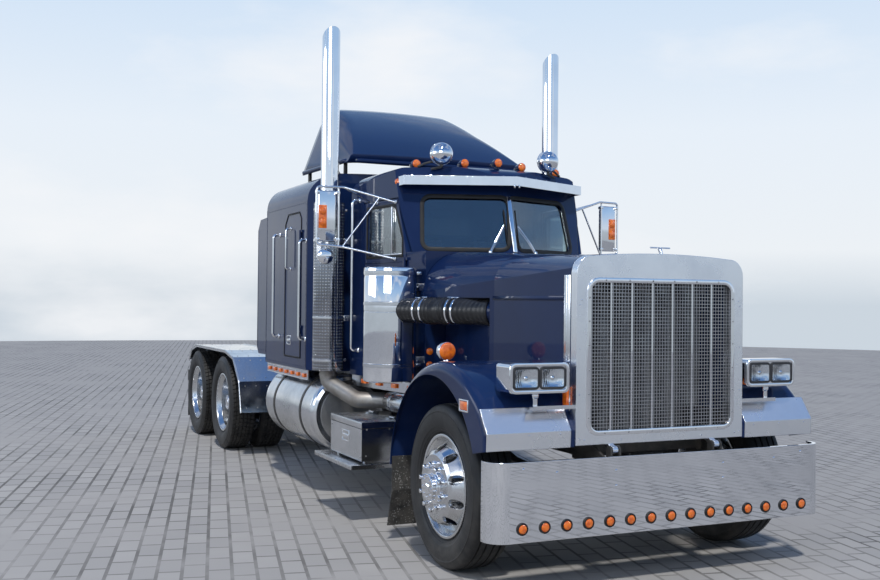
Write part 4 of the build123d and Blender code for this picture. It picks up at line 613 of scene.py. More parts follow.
def make_light():
    def lamp(name, kind, place, aim, energy, **settings):
        data = bpy.data.lights.new(name, kind)
        data.energy = energy
        for key, value in settings.items():
            setattr(data, key, value)
        made = bpy.data.objects.new(name, data)
        made.matrix_world = facing(Vector(place) - Vector(aim), place)
        bpy.context.scene.collection.objects.link(made)

    lamp("sun", "SUN", (5.0, -2.0, 9.0), (0, 0, 0), 2.6, angle=radians(4.0), color=(1.0, 0.97, 0.92))
    lamp("front_box", "AREA", (11.0, -7.0, 6.0), (1.5, 0, 1.5), 260.0, shape="RECTANGLE", size=6.0,
        size_y=3.0)
    lamp("side_box", "AREA", (-2.0, -12.0, 5.0), (0, 0, 1.5), 240.0, shape="RECTANGLE", size=9.0, size_y=3.0)
    world = bpy.data.worlds.new("pale_sky")
    world.use_nodes = True
    tree = world.node_tree
    ways = node(tree, "TexCoord").outputs["Generated"]
    height = split(tree, ways)["Z"]
    clouds = noise(tree, mapped(tree, ways, (1.0, 1.0, 2.6)), 2.2, 6.0, 0.55)
    bright = ramp(tree, height, (0.6, 0.67, 0.74), (0.1, 0.22, 0.5), ((0.05, (0.84, 0.88, 0.92)),
        (0.16, (0.8, 0.87, 0.95)), (0.34, (0.56, 0.72, 0.92)), (0.6, (0.22, 0.4, 0.72))))
    ahead = mix(tree, remap(tree, clouds, 0.5, 0.66, to_high=0.75), bright, (0.93, 0.94, 0.96))
    rough_height = maths(tree, "MULTIPLY_ADD", clouds, 0.1, height)
    deep = ramp(tree, rough_height, (0.44, 0.49, 0.54), (0.07, 0.17, 0.42), ((0.075, (0.46, 0.52, 0.58)),
        (0.12, (0.66, 0.75, 0.86)), (0.3, (0.38, 0.57, 0.84)), (0.55, (0.13, 0.28, 0.6))))
    behind = mix(tree, remap(tree, clouds, 0.52, 0.62, to_high=0.55), deep, (0.8, 0.84, 0.88))
    behind = mix(tree, remap(tree, rough_height, 0.1, 0.16), deep, behind)
    view_way = (-cos(CAMERA_TURN), sin(CAMERA_TURN), 0.0)
    onward = node(tree, "VectorMath", {0: ways, 1: view_way}, operation="DOT_PRODUCT").outputs["Value"]
    sky = mix(tree, remap(tree, onward, 0.66, 0.86), behind, ahead)
    path = node(tree, "LightPath").outputs
    seen = maths(tree, "MAXIMUM", path["Is Camera Ray"], path["Is Glossy Ray"])
    seen = maths(tree, "MAXIMUM", seen, path["Is Transmission Ray"])
    feed(tree, tree.nodes["Background"], {"Color": sky, "Strength": remap(tree, seen, to_low=0.75)})
    bpy.context.scene.world = world


def make_floor():
    """A round place of pale paving."""
    bm = bmesh.new()
    bmesh.ops.create_circle(bm, cap_ends=True, segments=96, radius=34.0)
    mesh = bpy.data.meshes.new("floor")
    bm.to_mesh(mesh)
    bm.free()
    floor = bpy.data.objects.new("floor", mesh)
    bpy.context.scene.collection.objects.link(floor)
    material = bpy.data.materials.new("pale_paving")
    material.use_nodes = True
    tree = material.node_tree
    place = node(tree, "TexCoord").outputs["Object"]
    bricks = node(tree, "TexBrick", {"Vector": mapped(tree, place, turn=(0, 0, 0.22)), "Scale": 1.0,
        "Color1": (0.3, 0.295, 0.29, 1), "Color2": (0.37, 0.36, 0.35, 1), "Mortar": (0.11, 0.105, 0.1, 1),
        "Mortar Size": 0.012, "Brick Width": 0.3, "Row Height": 0.15}).outputs["Color"]
    worn = mix(tree, placed(tree, blotches, Place=place, Scale=0.7), bricks, (0.33, 0.32, 0.31))
    feed(tree, tree.nodes["Principled BSDF"], {"Base Color": worn, "Roughness": 0.85})
    mesh.materials.append(material)


# Wheels

WHEEL_Z = 0.515
FRONT_WHEEL_Y = 1.03
TWIN_Y = (1.084, 0.728)
TYRE_WALL = ((0.3115, 0.104), (0.33, 0.1042), (0.342, 0.118), (0.348, 0.12), (0.352, 0.1255), (0.37, 0.131),
    (0.3725, 0.1335), (0.395, 0.139), (0.418, 0.1412), (0.44, 0.1414), (0.46, 0.1395), (0.4625, 0.141),
    (0.468, 0.1408), (0.4705, 0.137), (0.488, 0.1295), (0.5, 0.1225))
RIB_CROWN = ((0.5085, 0.112), (0.512, 0.1), (0.5138, 0.08), (0.503, 0.0785), (0.503, 0.069), (0.5145, 0.0675),
    (0.5149, 0.033), (0.503, 0.0315), (0.503, 0.0225), (0.515, 0.021))


def mirror_line(points):
    return list(points) + [(radius, -along) for radius, along in reversed(points)]


def tyre_shape(bm, x, y, lugs):
    """A tyre from bead to bead. A drive tyre's crown is cut into lugs in three rows on each side."""
    if not lugs:
        spun(bm, mirror_line(TYRE_WALL + RIB_CROWN), (x, y, WHEEL_Z), Y, 96)
        return
    rows = ((0.501, 0.119), (0.501, 0.08), (0.501, 0.042), (0.501, 0.002))
    spun(bm, mirror_line(TYRE_WALL + rows), (x, y, WHEEL_Z), Y, 66)
    crown = [f for f in bm.faces if all(hypot(v.co.x - x, v.co.z - WHEEL_Z) > 0.4995 for v in f.verts)
        and 0.002 < abs(f.calc_center_median().y - y) < 0.119]
    for v in {v for f in crown for v in f.verts}:
        lean = Matrix.Rotation(abs(v.co.y - y) * 0.45, 4, "Y")
        centre = Vector((x, v.co.y, WHEEL_Z))
        v.co = centre + lean @ (v.co - centre)
    bmesh.ops.inset_individual(bm, faces=crown, thickness=0.0038, depth=0.0135, use_even_offset=True)


def make_tyres():
    for side, sign in SIDES:
        bm = bmesh.new()
        tyre_shape(bm, 0.0, sign * FRONT_WHEEL_Y, False)
        piece("tread_front_" + side, bm, TYRE, "wheel_front_" + side, ("front_tyre_" + side,), 30)
        for place, x in DRIVE_X:
            bm = bmesh.new()
            for y in TWIN_Y:
                part = bmesh.new()
                tyre_shape(part, x, sign * y, True)
                merged(bm, part)
            piece("treads_" + place + "_" + side, bm, TYRE, "drive_wheel_" + place + "_" + side,
                ("drive_tyres_" + place + "_" + side,), 30)


def nut_ring(bm, x, y, sign, radius, reach, count=10, size=0.0165):
    """Wheel nuts with tall domed covers."""
    for place in circle((x, y, WHEEL_Z), radius, count, Y, 0.3):
        foot = place - Y * sign * 0.003
        top = place + Y * sign * reach
        rod(bm, foot, place + Y * sign * 0.006, size * 1.35, size * 1.2, 14)
        rod(bm, place + Y * sign * 0.004, top, size, size * 0.86, 12, edge=0.004)


def make_wheel_fittings():
    for side, sign in SIDES:
        bm = bmesh.new()
        y = sign * FRONT_WHEEL_Y
        face = y + sign * 0.1782
        nut_ring(bm, 0.0, face, sign, 0.1425, 0.04)
        spun(bm, [(r, a * sign) for r, a in ((0.1105, 0.0), (0.1105, 0.01), (0.108, 0.013), (0.086, 0.016),
            (0.083, 0.02), (0.0825, 0.046), (0.078, 0.0505), (0.0, 0.0512))], (0, face, WHEEL_Z), Y, 48)
        heads(bm, circle((0, face + sign * 0.0505, WHEEL_Z), 0.062, 8, Y), Y * sign, 0.0075, 0.006, 6)
        spun(bm, [(r, a * sign) for r, a in ((0.026, 0.05), (0.024, 0.056), (0.02, 0.058), (0.0, 0.0585))],
            (0, face, WHEEL_Z), Y, 24)
        piece("nuts_and_hub_front_" + side, bm, CHROME, "wheel_front_" + side)
        for place, x in DRIVE_X:
            bm = bmesh.new()
            disc = sign * (TWIN_Y[0] - 0.158)
            nut_ring(bm, x, disc, sign, 0.1425, 0.036)
            cap = sign * (TWIN_Y[0] + 0.0665)
            spun(bm, [(r, a * sign) for r, a in ((0.0785, -0.048), (0.08, -0.044), (0.08, -0.004),
                (0.076, 0.0), (0.05, 0.0015), (0.046, 0.006), (0.0, 0.0075))], (x, cap, WHEEL_Z), Y, 40)
            heads(bm, circle((x, cap, WHEEL_Z), 0.064, 8, Y), Y * sign, 0.0085, 0.007, 6)
            piece("drive_nuts_and_hubs_" + place + "_" + side, bm, CHROME,
                "drive_wheel_" + place + "_" + side)


def rim_lip(bm, x, y, sign):
    """The smooth rolled edge of a wheel's rim, and its inner slope."""
    line = ((0.3242, 0.104), (0.3246, 0.1175), (0.32, 0.119), (0.31, 0.1185), (0.306, 0.115), (0.305, 0.105),
        (0.299, 0.09), (0.2985, 0.0895), (0.3035, 0.104))
    spun(bm, [(radius, along * sign) for radius, along in line], (x, y, WHEEL_Z), Y, 96, closed=True)


def make_rim_edges():
    for side, sign in SIDES:
        bm = bmesh.new()
        rim_lip(bm, 0.0, sign * FRONT_WHEEL_Y, sign)
        piece("rim_edge_front_" + side, bm, POLISHED, "wheel_front_" + side)
        for place, x in DRIVE_X:
            bm = bmesh.new()
            rim_lip(bm, x, sign * TWIN_Y[0], sign)
            piece("drive_rim_edges_" + place + "_" + side, bm, POLISHED, "drive_wheel_" + place + "_" + side)


# Nose

def make_grille():
    bm = bmesh.new()
    low, high, half, x = 0.911, 1.799, 0.5245, 0.6925
    columns, rows = 49, 42
    upright = Matrix.Translation((x, 0, (low + high) / 2)) @ Matrix.Rotation(pi / 2, 4, "Y")
    matrix = upright @ Matrix.Diagonal(((high - low) / 2, half, 1, 1))
    bmesh.ops.create_grid(bm, x_segments=rows, y_segments=columns, size=1.0, matrix=matrix)
    holes = bmesh.ops.inset_individual(bm, faces=bm.faces[:], thickness=0.0034, depth=0.0)
    rims = set(holes["faces"])
    bmesh.ops.delete(bm, geom=[f for f in bm.faces if f not in rims], context="FACES")
    raised(bm, bm.faces[:], (-0.002, 0, 0))
    piece("grille_mesh", bm, MESH_METAL, "hood", ("grille_screen",))
    bm = bmesh.new()
    pitch = 2 * half / 7
    for index in range(6):
        y = (index + 1) * pitch - half
        flat(bm, ((y - 0.008, 0.693), (y - 0.0055, 0.704), (y + 0.0055, 0.704), (y + 0.008, 0.693)), "z",
            low + 0.002, high - 0.002)
    for vert in bm.verts:
        vert.co = (vert.co.y, vert.co.x, vert.co.z)
    piece("grille_bars", bm, CHROME, "hood")
    bm = bmesh.new()
    ring_frame(bm, 1.04, 0.88, 0.052, 0.03, 0.007, facing_front(0.7078, 0, (low + high) / 2), edge=0.0035)
    piece("grille_frame", bm, CHROME, "hood")
    bm = bmesh.new()
    edge_y, edge_z = 0.535, 0.455
    centre = (low + high) / 2
    places = [(0.715, sign * edge_y, centre + z) for sign in (1, -1)
        for z in (-0.36, -0.22, -0.08, 0.07, 0.21, 0.35)]
    places += [(0.715, y, centre + sign * edge_z) for sign in (1, -1)
        for y in (-0.42, -0.25, -0.08, 0.08, 0.25, 0.42)]
    heads(bm, places, X, 0.007, 0.004)
    piece("grille_frame_screws", bm, DULL_METAL, "hood")
    bm = bmesh.new()
    outer = [(0.708, sign * y, z) for sign in (1, -1) for y, z in ((0.597, 1.66), (0.597, 1.4), (0.597, 1.13),
        (0.597, 0.87), (0.585, 1.69), (0.56, 0.862), (0.3, 0.855))]
    heads(bm, outer, X, 0.006, 0.003)
    piece("surround_screws", bm, CHROME, "hood")


def make_ornament():
    """A plain slim fin on the top edge of the grille surround."""
    bm = bmesh.new()
    flat(bm, ((0.7, 1.976), (0.672, 1.976), (0.652, 2.012), (0.66, 2.018), (0.684, 2.014)), "y", -0.005,
        0.005, edge=0.003)
    rod(bm, (0.672, -0.075, 2.0165), (0.672, 0.075, 2.0165), 0.0045, 0.0045, 12, edge=0.002)
    piece("hood_fin", bm, CHROME, "hood")


def hood_side_y(x):
    return 0.62 + (0.645 - x) / 0.925 * 0.03


def make_hood_trim():
    @paired(STAINLESS, "hood")
    def hood_side_strips(bm):
        for low_x, high_x, stand in ((0.572, 0.64, 0.003), (0.596, 0.604, 0.0055)):
            block(bm, (low_x, 0, 1.03), (high_x, 0.004, 1.84), 0.0015)
            for v in bm.verts:
                if v.co.y < 0.05:
                    v.co.y += hood_side_y(v.co.x) + stand - 0.003

    @paired(AMBER, "hood")
    def hood_side_lamps(bm):
        block(bm, (0.583, hood_side_y(0.6) + 0.002, 1.055), (0.632, hood_side_y(0.6) + 0.019, 1.175), 0.007)

    @paired(NAVY, "hood")
    def hood_rivets(bm):
        row = [(x, hood_side_y(x), 1.7) for x in [0.55 - 0.048 * i for i in range(18)]]
        heads(bm, row, Y, 0.0045, 0.0022, 6)
        heads(bm, [(0.556, hood_side_y(0.556), z) for z in [1.8 - 0.05 * i for i in range(15)]], Y, 0.0045,
            0.0022, 6)
        heads(bm, [(-0.305, hood_side_y(-0.305), z) for z in [1.66 - 0.05 * i for i in range(9)]], Y, 0.0045,
            0.0022, 6)

    @paired(NAVY, "hood")
    def hood_seams(bm):
        block(bm, (-0.325, 0.6505, 1.686), (0.565, 0.6525, 1.714), 0.0008)
        for v in bm.verts:
            v.co.y += hood_side_y(v.co.x) - 0.6505 + 0.0002


def make_guard_trim():
    @paired(CHROME, "hood")
    def guard_screws(bm):
        places = [(0.703, y, 0.905) for y in (0.72, 0.93, 1.14)]
        heads(bm, places, X, 0.006, 0.004, 8)


def make_headlamps():
    y, z, x = 0.862, 1.234, 0.694

    @paired(PLASTIC, "hood")
    def headlamp_bezels(bm):
        for index in (-1, 1):
            ring_frame(bm, 0.146, 0.104, 0.012, 0.0145, 0.009, facing_front(x - 0.001, y + index * 0.0885, z),
                edge=0.003)

    @paired(CHROME, "hood", smooth=60)
    def headlamp_bowls(bm):
        for index in (-1, 1):
            centre = y + index * 0.0885
            grid = bmesh.ops.create_grid(bm, x_segments=12, y_segments=16, size=0.5,
                matrix=Matrix.Translation((x + 0.0005, centre, z)) @ Matrix.Rotation(pi / 2, 4, "Y")
                @ Matrix.Diagonal((0.106, 0.148, 1, 1)))["verts"]
            for v in grid:
                across = hypot((v.co.y - centre) / 0.074, (v.co.z - z) / 0.053)
                v.co.x += 0.006 * min(across, 1.0) ** 2 - 0.002
            rod(bm, (x - 0.001, centre, z), (x + 0.006, centre, z), 0.014, 0.008, 16)

    @paired(LENS, "hood")
    def headlamp_lenses(bm):
        for index in (-1, 1):
            centre = y + index * 0.0885
            block(bm, (x + 0.0068, centre - 0.0725, z - 0.0515), (x + 0.0098, centre + 0.0725, z + 0.0515),
                0.0012)

    @paired(CHROME, "hood")
    def headlamp_rims(bm):
        ring_frame(bm, 0.356, 0.137, 0.02, 0.021, 0.01, facing_front(x - 0.0005, y, z), edge=0.004)


def make_turn_lamps():
    x, y, z = -0.29, 1.0, 1.346

    @paired(AMBER, "hood", smooth=60)
    def fender_lamp_lenses(bm):
        for way in (1, -1):
            spun(bm, [(r, a * way) for r, a in ((0.0585, 0.0235), (0.056, 0.03), (0.045, 0.036),
                (0.025, 0.04), (0.0, 0.041))], (x, y, z), X, 32)

    @paired(CHROME, "hood")
    def fender_lamp_rims(bm):
        spun(bm, ((0.059, -0.024), (0.061, -0.021), (0.061, 0.021), (0.059, 0.024), (0.0575, 0.024),
            (0.0575, -0.024)), (x, y, z), X, 32, closed=True)
        rod(bm, (x, y, z - 0.055), (x, y, z - 0.075), 0.016, 0.02, 16, edge=0.003)


BUMPER_LAMP_Y = [index * 2 * 1.026 / 14 - 1.026 for index in range(15)]
ROOF_LAMPS = ((-1.455, 0.0, 2.792), (-1.534, 0.261, 2.782), (-1.534, -0.261, 2.782), (-1.632, 0.64, 2.765),
    (-1.632, -0.64, 2.765))


def make_fender_side_lamps():
    """A small lamp in a bright oblong bezel low on the outside of each front fender."""
    @paired(CHROME, "hood")
    def fender_side_bezels(bm):
        outline_frame(bm, ((0.345, 1.03), (0.445, 1.03), (0.445, 1.085), (0.345, 1.085)), 0.01, 1.198, 1.2065,
            0.003)

    @paired(AMBER, "hood")
    def fender_side_lenses(bm):
        block(bm, (0.347, 1.197, 1.032), (0.443, 1.205, 1.083), 0.003)


def make_bumper_trim():
    bm = bmesh.new()
    for y in BUMPER_LAMP_Y:
        spun(bm, ((0.036, 0.0), (0.0365, 0.006), (0.034, 0.01), (0.028, 0.011), (0.0265, 0.004),
            (0.0265, 0.0)), (0.7998, y, 0.395), X, 28, closed=True)
    piece("bumper_lamp_grommets", bm, RUBBER, "chassis")
    bm = bmesh.new()
    heads(bm, [(0.8, sign * y, z) for sign in (1, -1) for y,
        z in ((0.395, 0.69), (0.395, 0.6), (0.8, 0.7), (1.02, 0.73))], X, 0.01, 0.006, 10)
    piece("bumper_bolts", bm, CHROME, "chassis")


def make_amber_lenses():
    """The lenses of the bumper lamps and the roof lamps."""
    bm = bmesh.new()
    for y in BUMPER_LAMP_Y:
        spun(bm, ((0.0262, 0.001), (0.0262, 0.008), (0.0225, 0.0115), (0.012, 0.0134), (0.0, 0.0138)),
            (0.8, y, 0.395), X, 24)
    for x, y, z in ROOF_LAMPS:
        spun(bm, ((0.0335, -0.012), (0.0335, 0.0), (0.03, 0.006), (0.018, 0.009), (0.0, 0.01)),
            (x - 0.01, y, z), X, 28)
    piece("amber_lenses", bm, AMBER, "chassis", ("marker_lamps",), 50)


def make_roof_lamps():
    make_amber_lenses()
    bm = bmesh.new()
    for x, y, z in ROOF_LAMPS:
        spun(bm, ((0.034, 0.0), (0.0352, -0.002), (0.035, -0.018), (0.03, -0.06), (0.019, -0.11),
            (0.008, -0.135), (0.0, -0.138)), (x - 0.01, y, z), X, 28)
        rod(bm, (x - 0.045, y, z - 0.02), (x - 0.045, y, 2.7), 0.014, 0.02, 16)
        rod(bm, (x - 0.045, y, z - 0.045), (x - 0.045, y, z - 0.055), 0.024, 0.026, 16)
    piece("roof_lamp_bodies", bm, NAVY, "chassis", smooth=50)

    @paired(CHROME, "chassis", smooth=60)
    def spot_lamps(bm):
        x, y, z = -1.506, 0.484, 2.837
        ball = bmesh.ops.create_uvsphere(bm, u_segments=40, v_segments=24, radius=0.088,
            matrix=Matrix.Translation((x, y, z)))["verts"]
        for v in ball:
            if v.co.x < x:
                v.co.x = x + (v.co.x - x) * 0.95
        spun(bm, ((0.0885, -0.008), (0.0915, -0.006), (0.0915, 0.004), (0.0885, 0.006)), (x - 0.02, y, z), X,
            40, closed=True)

    @paired(BLACK_STEEL, "chassis")
    def spot_lamp_arms(bm):
        pipe(bm, ((-1.506, 0.484, 2.755), (-1.506, 0.484, 2.735), (-1.54, 0.56, 2.715)), 0.011, 0.012, 10)
        pipe(bm, ((-1.53, 0.5, 2.79), (-1.575, 0.59, 2.765), (-1.6, 0.65, 2.735)), 0.009, 0.02, 10)
        rod(bm, (-1.506, 0.484, 2.752), (-1.506, 0.484, 2.768), 0.022, 0.018, 16)


# Cab

CAB_SLOPE = 0.135 / 1.26


def cab_side_y(x):
    return 0.765 + CAB_SLOPE * (-1.16 - x)


def lean_on_cab(bm):
    """Moves a flat shape from the plane Y = 0 onto the cab's slanted side."""
    for v in bm.verts:
        v.co.y += cab_side_y(v.co.x)


def pane_matrix(sign):
    """Turns and moves a shape from the origin's plane to the middle of one windshield pane."""
    across = Vector((-0.26, sign * 0.7, 0))
    lean = Vector((-0.122, 0, 0.447))
    normal = (across.cross(lean) if sign > 0 else lean.cross(across)).normalized()
    side = across.normalized() * sign
    turn = Matrix((side, normal.cross(side), normal)).transposed().to_4x4()
    return Matrix.Translation((-1.178, 0, 2.064)) @ turn @ Matrix.Translation((sign * 0.3794, 0.2317, 0))


def make_windshield():
    bm = bmesh.new()
    for sign in (1, -1):
        ring_frame(bm, 0.652, 0.402, 0.052, 0.034, 0.0055, pane_matrix(sign), edge=0.0025)
    piece("windshield_gaskets", bm, RUBBER, "chassis")
    bm = bmesh.new()
    flat(bm, ((-1.163, 2.06), (-1.178, 2.06), (-1.3, 2.508), (-1.285, 2.511)), "y", -0.018, 0.018, edge=0.006,
        segments=3)
    piece("windshield_bar", bm, CHROME, "chassis")

    @paired(CHROME, "chassis")
    def wiper_arms(bm):
        rod(bm, (-1.206, 0.2, 2.048), (-1.206, 0.2, 2.074), 0.017, 0.013, 16, edge=0.003)
        pipe(bm, ((-1.206, 0.2, 2.068), (-1.215, 0.155, 2.14), (-1.248, 0.066, 2.268)), 0.0055, 0.03, 8)
        pipe(bm, ((-1.206, 0.188, 2.066), (-1.217, 0.14, 2.14), (-1.25, 0.058, 2.255)), 0.0035, 0.03, 8)
        rod(bm, (-1.245, 0.066, 2.262), (-1.252, 0.05, 2.268), 0.007, 0.006, 10)

    @paired(RUBBER, "chassis")
    def wiper_blades(bm):
        flat(bm, ((-1.197, 2.105), (-1.206, 2.103), (-1.283, 2.395), (-1.274, 2.398)), "y", 0.046, 0.054,
            edge=0.0015)
        flat(bm, ((-1.206, 2.103), (-1.212, 2.102), (-1.289, 2.394), (-1.283, 2.395)), "y", 0.0485, 0.0515)

    @paired(NAVY, "chassis")
    def cowl_rivets(bm):
        heads(bm, along((-1.185, 0.06, 2.05), (-1.365, 0.62, 2.05), 13), (0.2, 0, 1), 0.0048, 0.003, 6)


def make_visor_trim():
    bm = bmesh.new()
    for sign in (1, -1):
        heads(bm, along((-1.19, sign * 0.1, 2.6505), (-1.495, sign * 0.74, 2.6505), 6), Z, 0.006, 0.004)
        block(bm, (-1.172, sign * 0.02 - 0.006, 2.56), (-1.15, sign * 0.02 + 0.006, 2.585), 0.002)
    piece("visor_screws", bm, CHROME, "chassis")


WINDOW = ((-1.53, 2.035), (-2.115, 2.035), (-2.115, 2.422), (-1.655, 2.422), (-1.53, 2.16))


def grown(outline, band):
    """The outline moved outwards by a band, with its corners kept."""
    points = [Vector(point) for point in outline]
    after = points[1:] + points[:1]
    area = sum(a.x * b.y - b.x * a.y for a, b in zip(points, after))
    sign = 1 if area > 0 else -1
    moved = []
    for before, here, onward in zip(points[-1:] + points[:-1], points, after):
        along, leaving = (here - before).normalized(), (onward - here).normalized()
        first = Vector((along.y, -along.x)) * sign
        second = Vector((leaving.y, -leaving.x)) * sign
        corner = (first + second).normalized()
        moved.append(here + corner * (band / corner.dot(first)))
    return [tuple(point) for point in moved]


def outline_frame(bm, outline, band, low, high, edge=0.0):
    """A raised band round an outline in the plane of X and Z."""
    local = bmesh.new()
    inner = [local.verts.new((x, low, z)) for x, z in outline]
    outer = [local.verts.new((x, low, z)) for x, z in grown(outline, band)]
    ring = []
    for index in range(len(inner)):
        onward = (index + 1) % len(inner)
        ring.append(local.faces.new([inner[index], inner[onward], outer[onward], outer[index]]))
    raised(local, ring, (0, high - low, 0), edge)
    merged(bm, local)


def make_doors():
    @sided(RUBBER, "cab_door_{}")
    def window_gasket(bm):
        outline_frame(bm, WINDOW, 0.02, -0.004, 0.0035, 0.0015)
        lean_on_cab(bm)

    @sided(CHROME, "cab_door_{}")
    def vent_divider(bm):
        block(bm, (-1.706, -0.014, 2.036), (-1.69, 0.006, 2.421), 0.003)
        block(bm, (-2.112, -0.01, 2.036), (-1.535, 0.001, 2.046), 0.002)
        lean_on_cab(bm)

    @sided(CHROME, "cab_door_{}")
    def door_handle(bm):
        outline_frame(bm, ((-1.965, 1.59), (-2.125, 1.59), (-2.125, 1.665), (-1.965, 1.665)), 0.008, 0.0,
            0.004, 0.0015)
        block(bm, (-2.118, 0.012, 1.618), (-1.972, 0.024, 1.64), 0.005)
        block(bm, (-1.99, -0.001, 1.615), (-1.972, 0.022, 1.643), 0.004)
        rod(bm, (-2.085, 0.0, 1.56), (-2.085, 0.008, 1.56), 0.013, 0.011, 20, edge=0.002)
        lean_on_cab(bm)

    # A thin near-black sheet behind the handle, in place of its recess: painted shade.
    @sided(PAINTED_SHADE, "cab_door_{}")
    def door_handle_cup_shade(bm):
        block(bm, (-2.124, -0.001, 1.591), (-1.966, 0.0015, 1.664), 0.0004)
        lean_on_cab(bm)

    @sided(NAVY, "cab_door_{}")
    def door_crease(bm):
        for low, high in ((1.975, 1.985), (1.145, 1.152)):
            block(bm, (-2.165, -0.001, low), (-1.485, 0.0022, high), 0.001)
        heads(bm, [(x, 0.0005, 1.11) for x in (-1.5, -1.66, -1.82, -1.98, -2.14)], Y, 0.005, 0.003, 6)
        lean_on_cab(bm)


def make_cab_trim():
    @paired(NAVY, "chassis")
    def cab_rivets(bm):
        for x in (-1.205, -1.405):
            heads(bm, [(x, 0, z) for z in [1.13 + 0.06 * i for i in range(15)]], Y, 0.005, 0.003, 6)
        for x in (-2.225, -2.385):
            heads(bm, [(x, 0, z) for z in [1.13 + 0.075 * i for i in range(19)]], Y, 0.005, 0.003, 6)
        lean_on_cab(bm)

    @paired(AMBER, "chassis", smooth=50)
    def cowl_lamps(bm):
        for z in (1.3, 1.2, 1.1):
            spun(bm, ((0.026, 0.0), (0.026, 0.007), (0.022, 0.012), (0.01, 0.0145), (0.0, 0.015)),
                (-1.1605, 0.728, z), X, 24)

    @paired(AMBER, "chassis", smooth=50)
    def roof_side_lamps(bm):
        spun(bm, ((0.03, 0.0), (0.03, 0.008), (0.024, 0.016), (0.012, 0.02), (0.0, 0.021)),
            (-1.64, 0.793, 2.612), (0.9, 0.4, 0.1), 24)

    @paired(AMBER, "chassis")
    def skirt_lamps(bm):
        for x in (-1.4, -1.66, -1.92, -2.18):
            block(bm, (x - 0.04, -0.0165, 0.988), (x + 0.04, -0.002, 1.026), 0.006)
        lean_on_cab(bm)
        for index in range(7):
            x = -2.98 - 0.185 * index
            block(bm, (x - 0.036, 1.1305, 0.99), (x + 0.036, 1.1465, 1.026), 0.006)

    @paired(CHROME, "chassis")
    def skirt_edges(bm):
        block(bm, (-4.185, 1.1295, 0.97), (-2.87, 1.1345, 0.978), 0.002)
        block(bm, (-4.185, 1.1295, 1.04), (-2.87, 1.1345, 1.046), 0.002)
        heads(bm, along((-4.14, 1.1302, 1.034), (-2.92, 1.1302, 1.034), 9), Y, 0.004, 0.003, 6)


def make_mirrors():
    @sided(CHROME, "cab_door_{}", replaces=("mirror_{}",))
    def mirror_head(bm):
        block(bm, (-1.895, 1.236, 2.134), (-1.846, 1.386, 2.536), 0.011, 3)
        ring_frame(bm, 0.118, 0.372, 0.01, 0.01, 0.003, Matrix.Translation((-1.8955, 1.311, 2.335))
            @ Matrix(((0, 0, -1, 0), (1, 0, 0, 0), (0, 1, 0, 0), (0, 0, 0, 1))), edge=0.001)
        spun(bm, ((0.0, 0.022), (0.03, 0.02), (0.055, 0.01), (0.064, -0.004), (0.064, -0.012), (0.0, -0.012)),
            (-1.868, 1.312, 2.022), X, 32)
        rod(bm, (-1.868, 1.312, 2.08), (-1.868, 1.312, 2.1), 0.01, 0.01, 12)

    @sided(MIRROR_FACE, "cab_door_{}", smooth=60)
    def mirror_face(bm):
        block(bm, (-1.8975, 1.253, 2.151), (-1.8945, 1.369, 2.519), 0.0008)
        spun(bm, ((0.059, -0.0115), (0.059, -0.0135), (0.04, -0.0155), (0.0, -0.0165)),
            (-1.868, 1.312, 2.022), X, 32)

    @sided(AMBER, "cab_door_{}", smooth=50)
    def mirror_lamp(bm):
        for z in (2.373, 2.285):
            spun(bm, ((0.031, 0.0), (0.031, 0.007), (0.024, 0.012), (0.0, 0.014)), (-1.8465, 1.348, z), X, 24)
        block(bm, (-1.85, 1.314, 2.238), (-1.8405, 1.381, 2.42), 0.004)

    @sided(CHROME, "cab_door_{}")
    def mirror_frame(bm):
        foot_y = cab_side_y(-1.64)
        pipe(bm, ((-1.64, foot_y, 2.45), (-1.8, 1.19, 2.562), (-1.84, 1.399, 2.562), (-1.84, 1.399, 2.11),
            (-1.8, 1.2, 2.095), (-1.64, foot_y, 2.005)), 0.0095, 0.028, 12)
        rod(bm, (-1.826, 1.222, 2.562), (-1.826, 1.222, 2.098), 0.0075, segments=12)
        rod(bm, (-1.688, 0.935, 2.484), (-1.8, 1.196, 2.098), 0.0075, segments=12)
        rod(bm, (-1.8, 1.2, 2.562), (-1.95, 0.905, 2.47), 0.006, segments=10)
        for z in (2.52, 2.15):
            block(bm, (-1.866, 1.376, z - 0.012), (-1.832, 1.406, z + 0.012), 0.003)
            block(bm, (-1.866, 1.212, z - 0.012), (-1.82, 1.242, z + 0.012), 0.003)
        for x, z in ((-1.64, 2.45), (-1.64, 2.005), (-1.95, 2.466)):
            y = cab_side_y(x)
            block(bm, (x - 0.03, y - 0.002, z - 0.013), (x + 0.03, y + 0.012, z + 0.013), 0.004)
            heads(bm, [(x - 0.018, y + 0.012, z), (x + 0.018, y + 0.012, z)], Y, 0.006, 0.004, 6)
        rod(bm, (-1.95, cab_side_y(-1.95), 2.466), (-1.95, 0.91, 2.47), 0.008, segments=10)


# Beside the hood

CLEANER = (-1.28, 1.0)


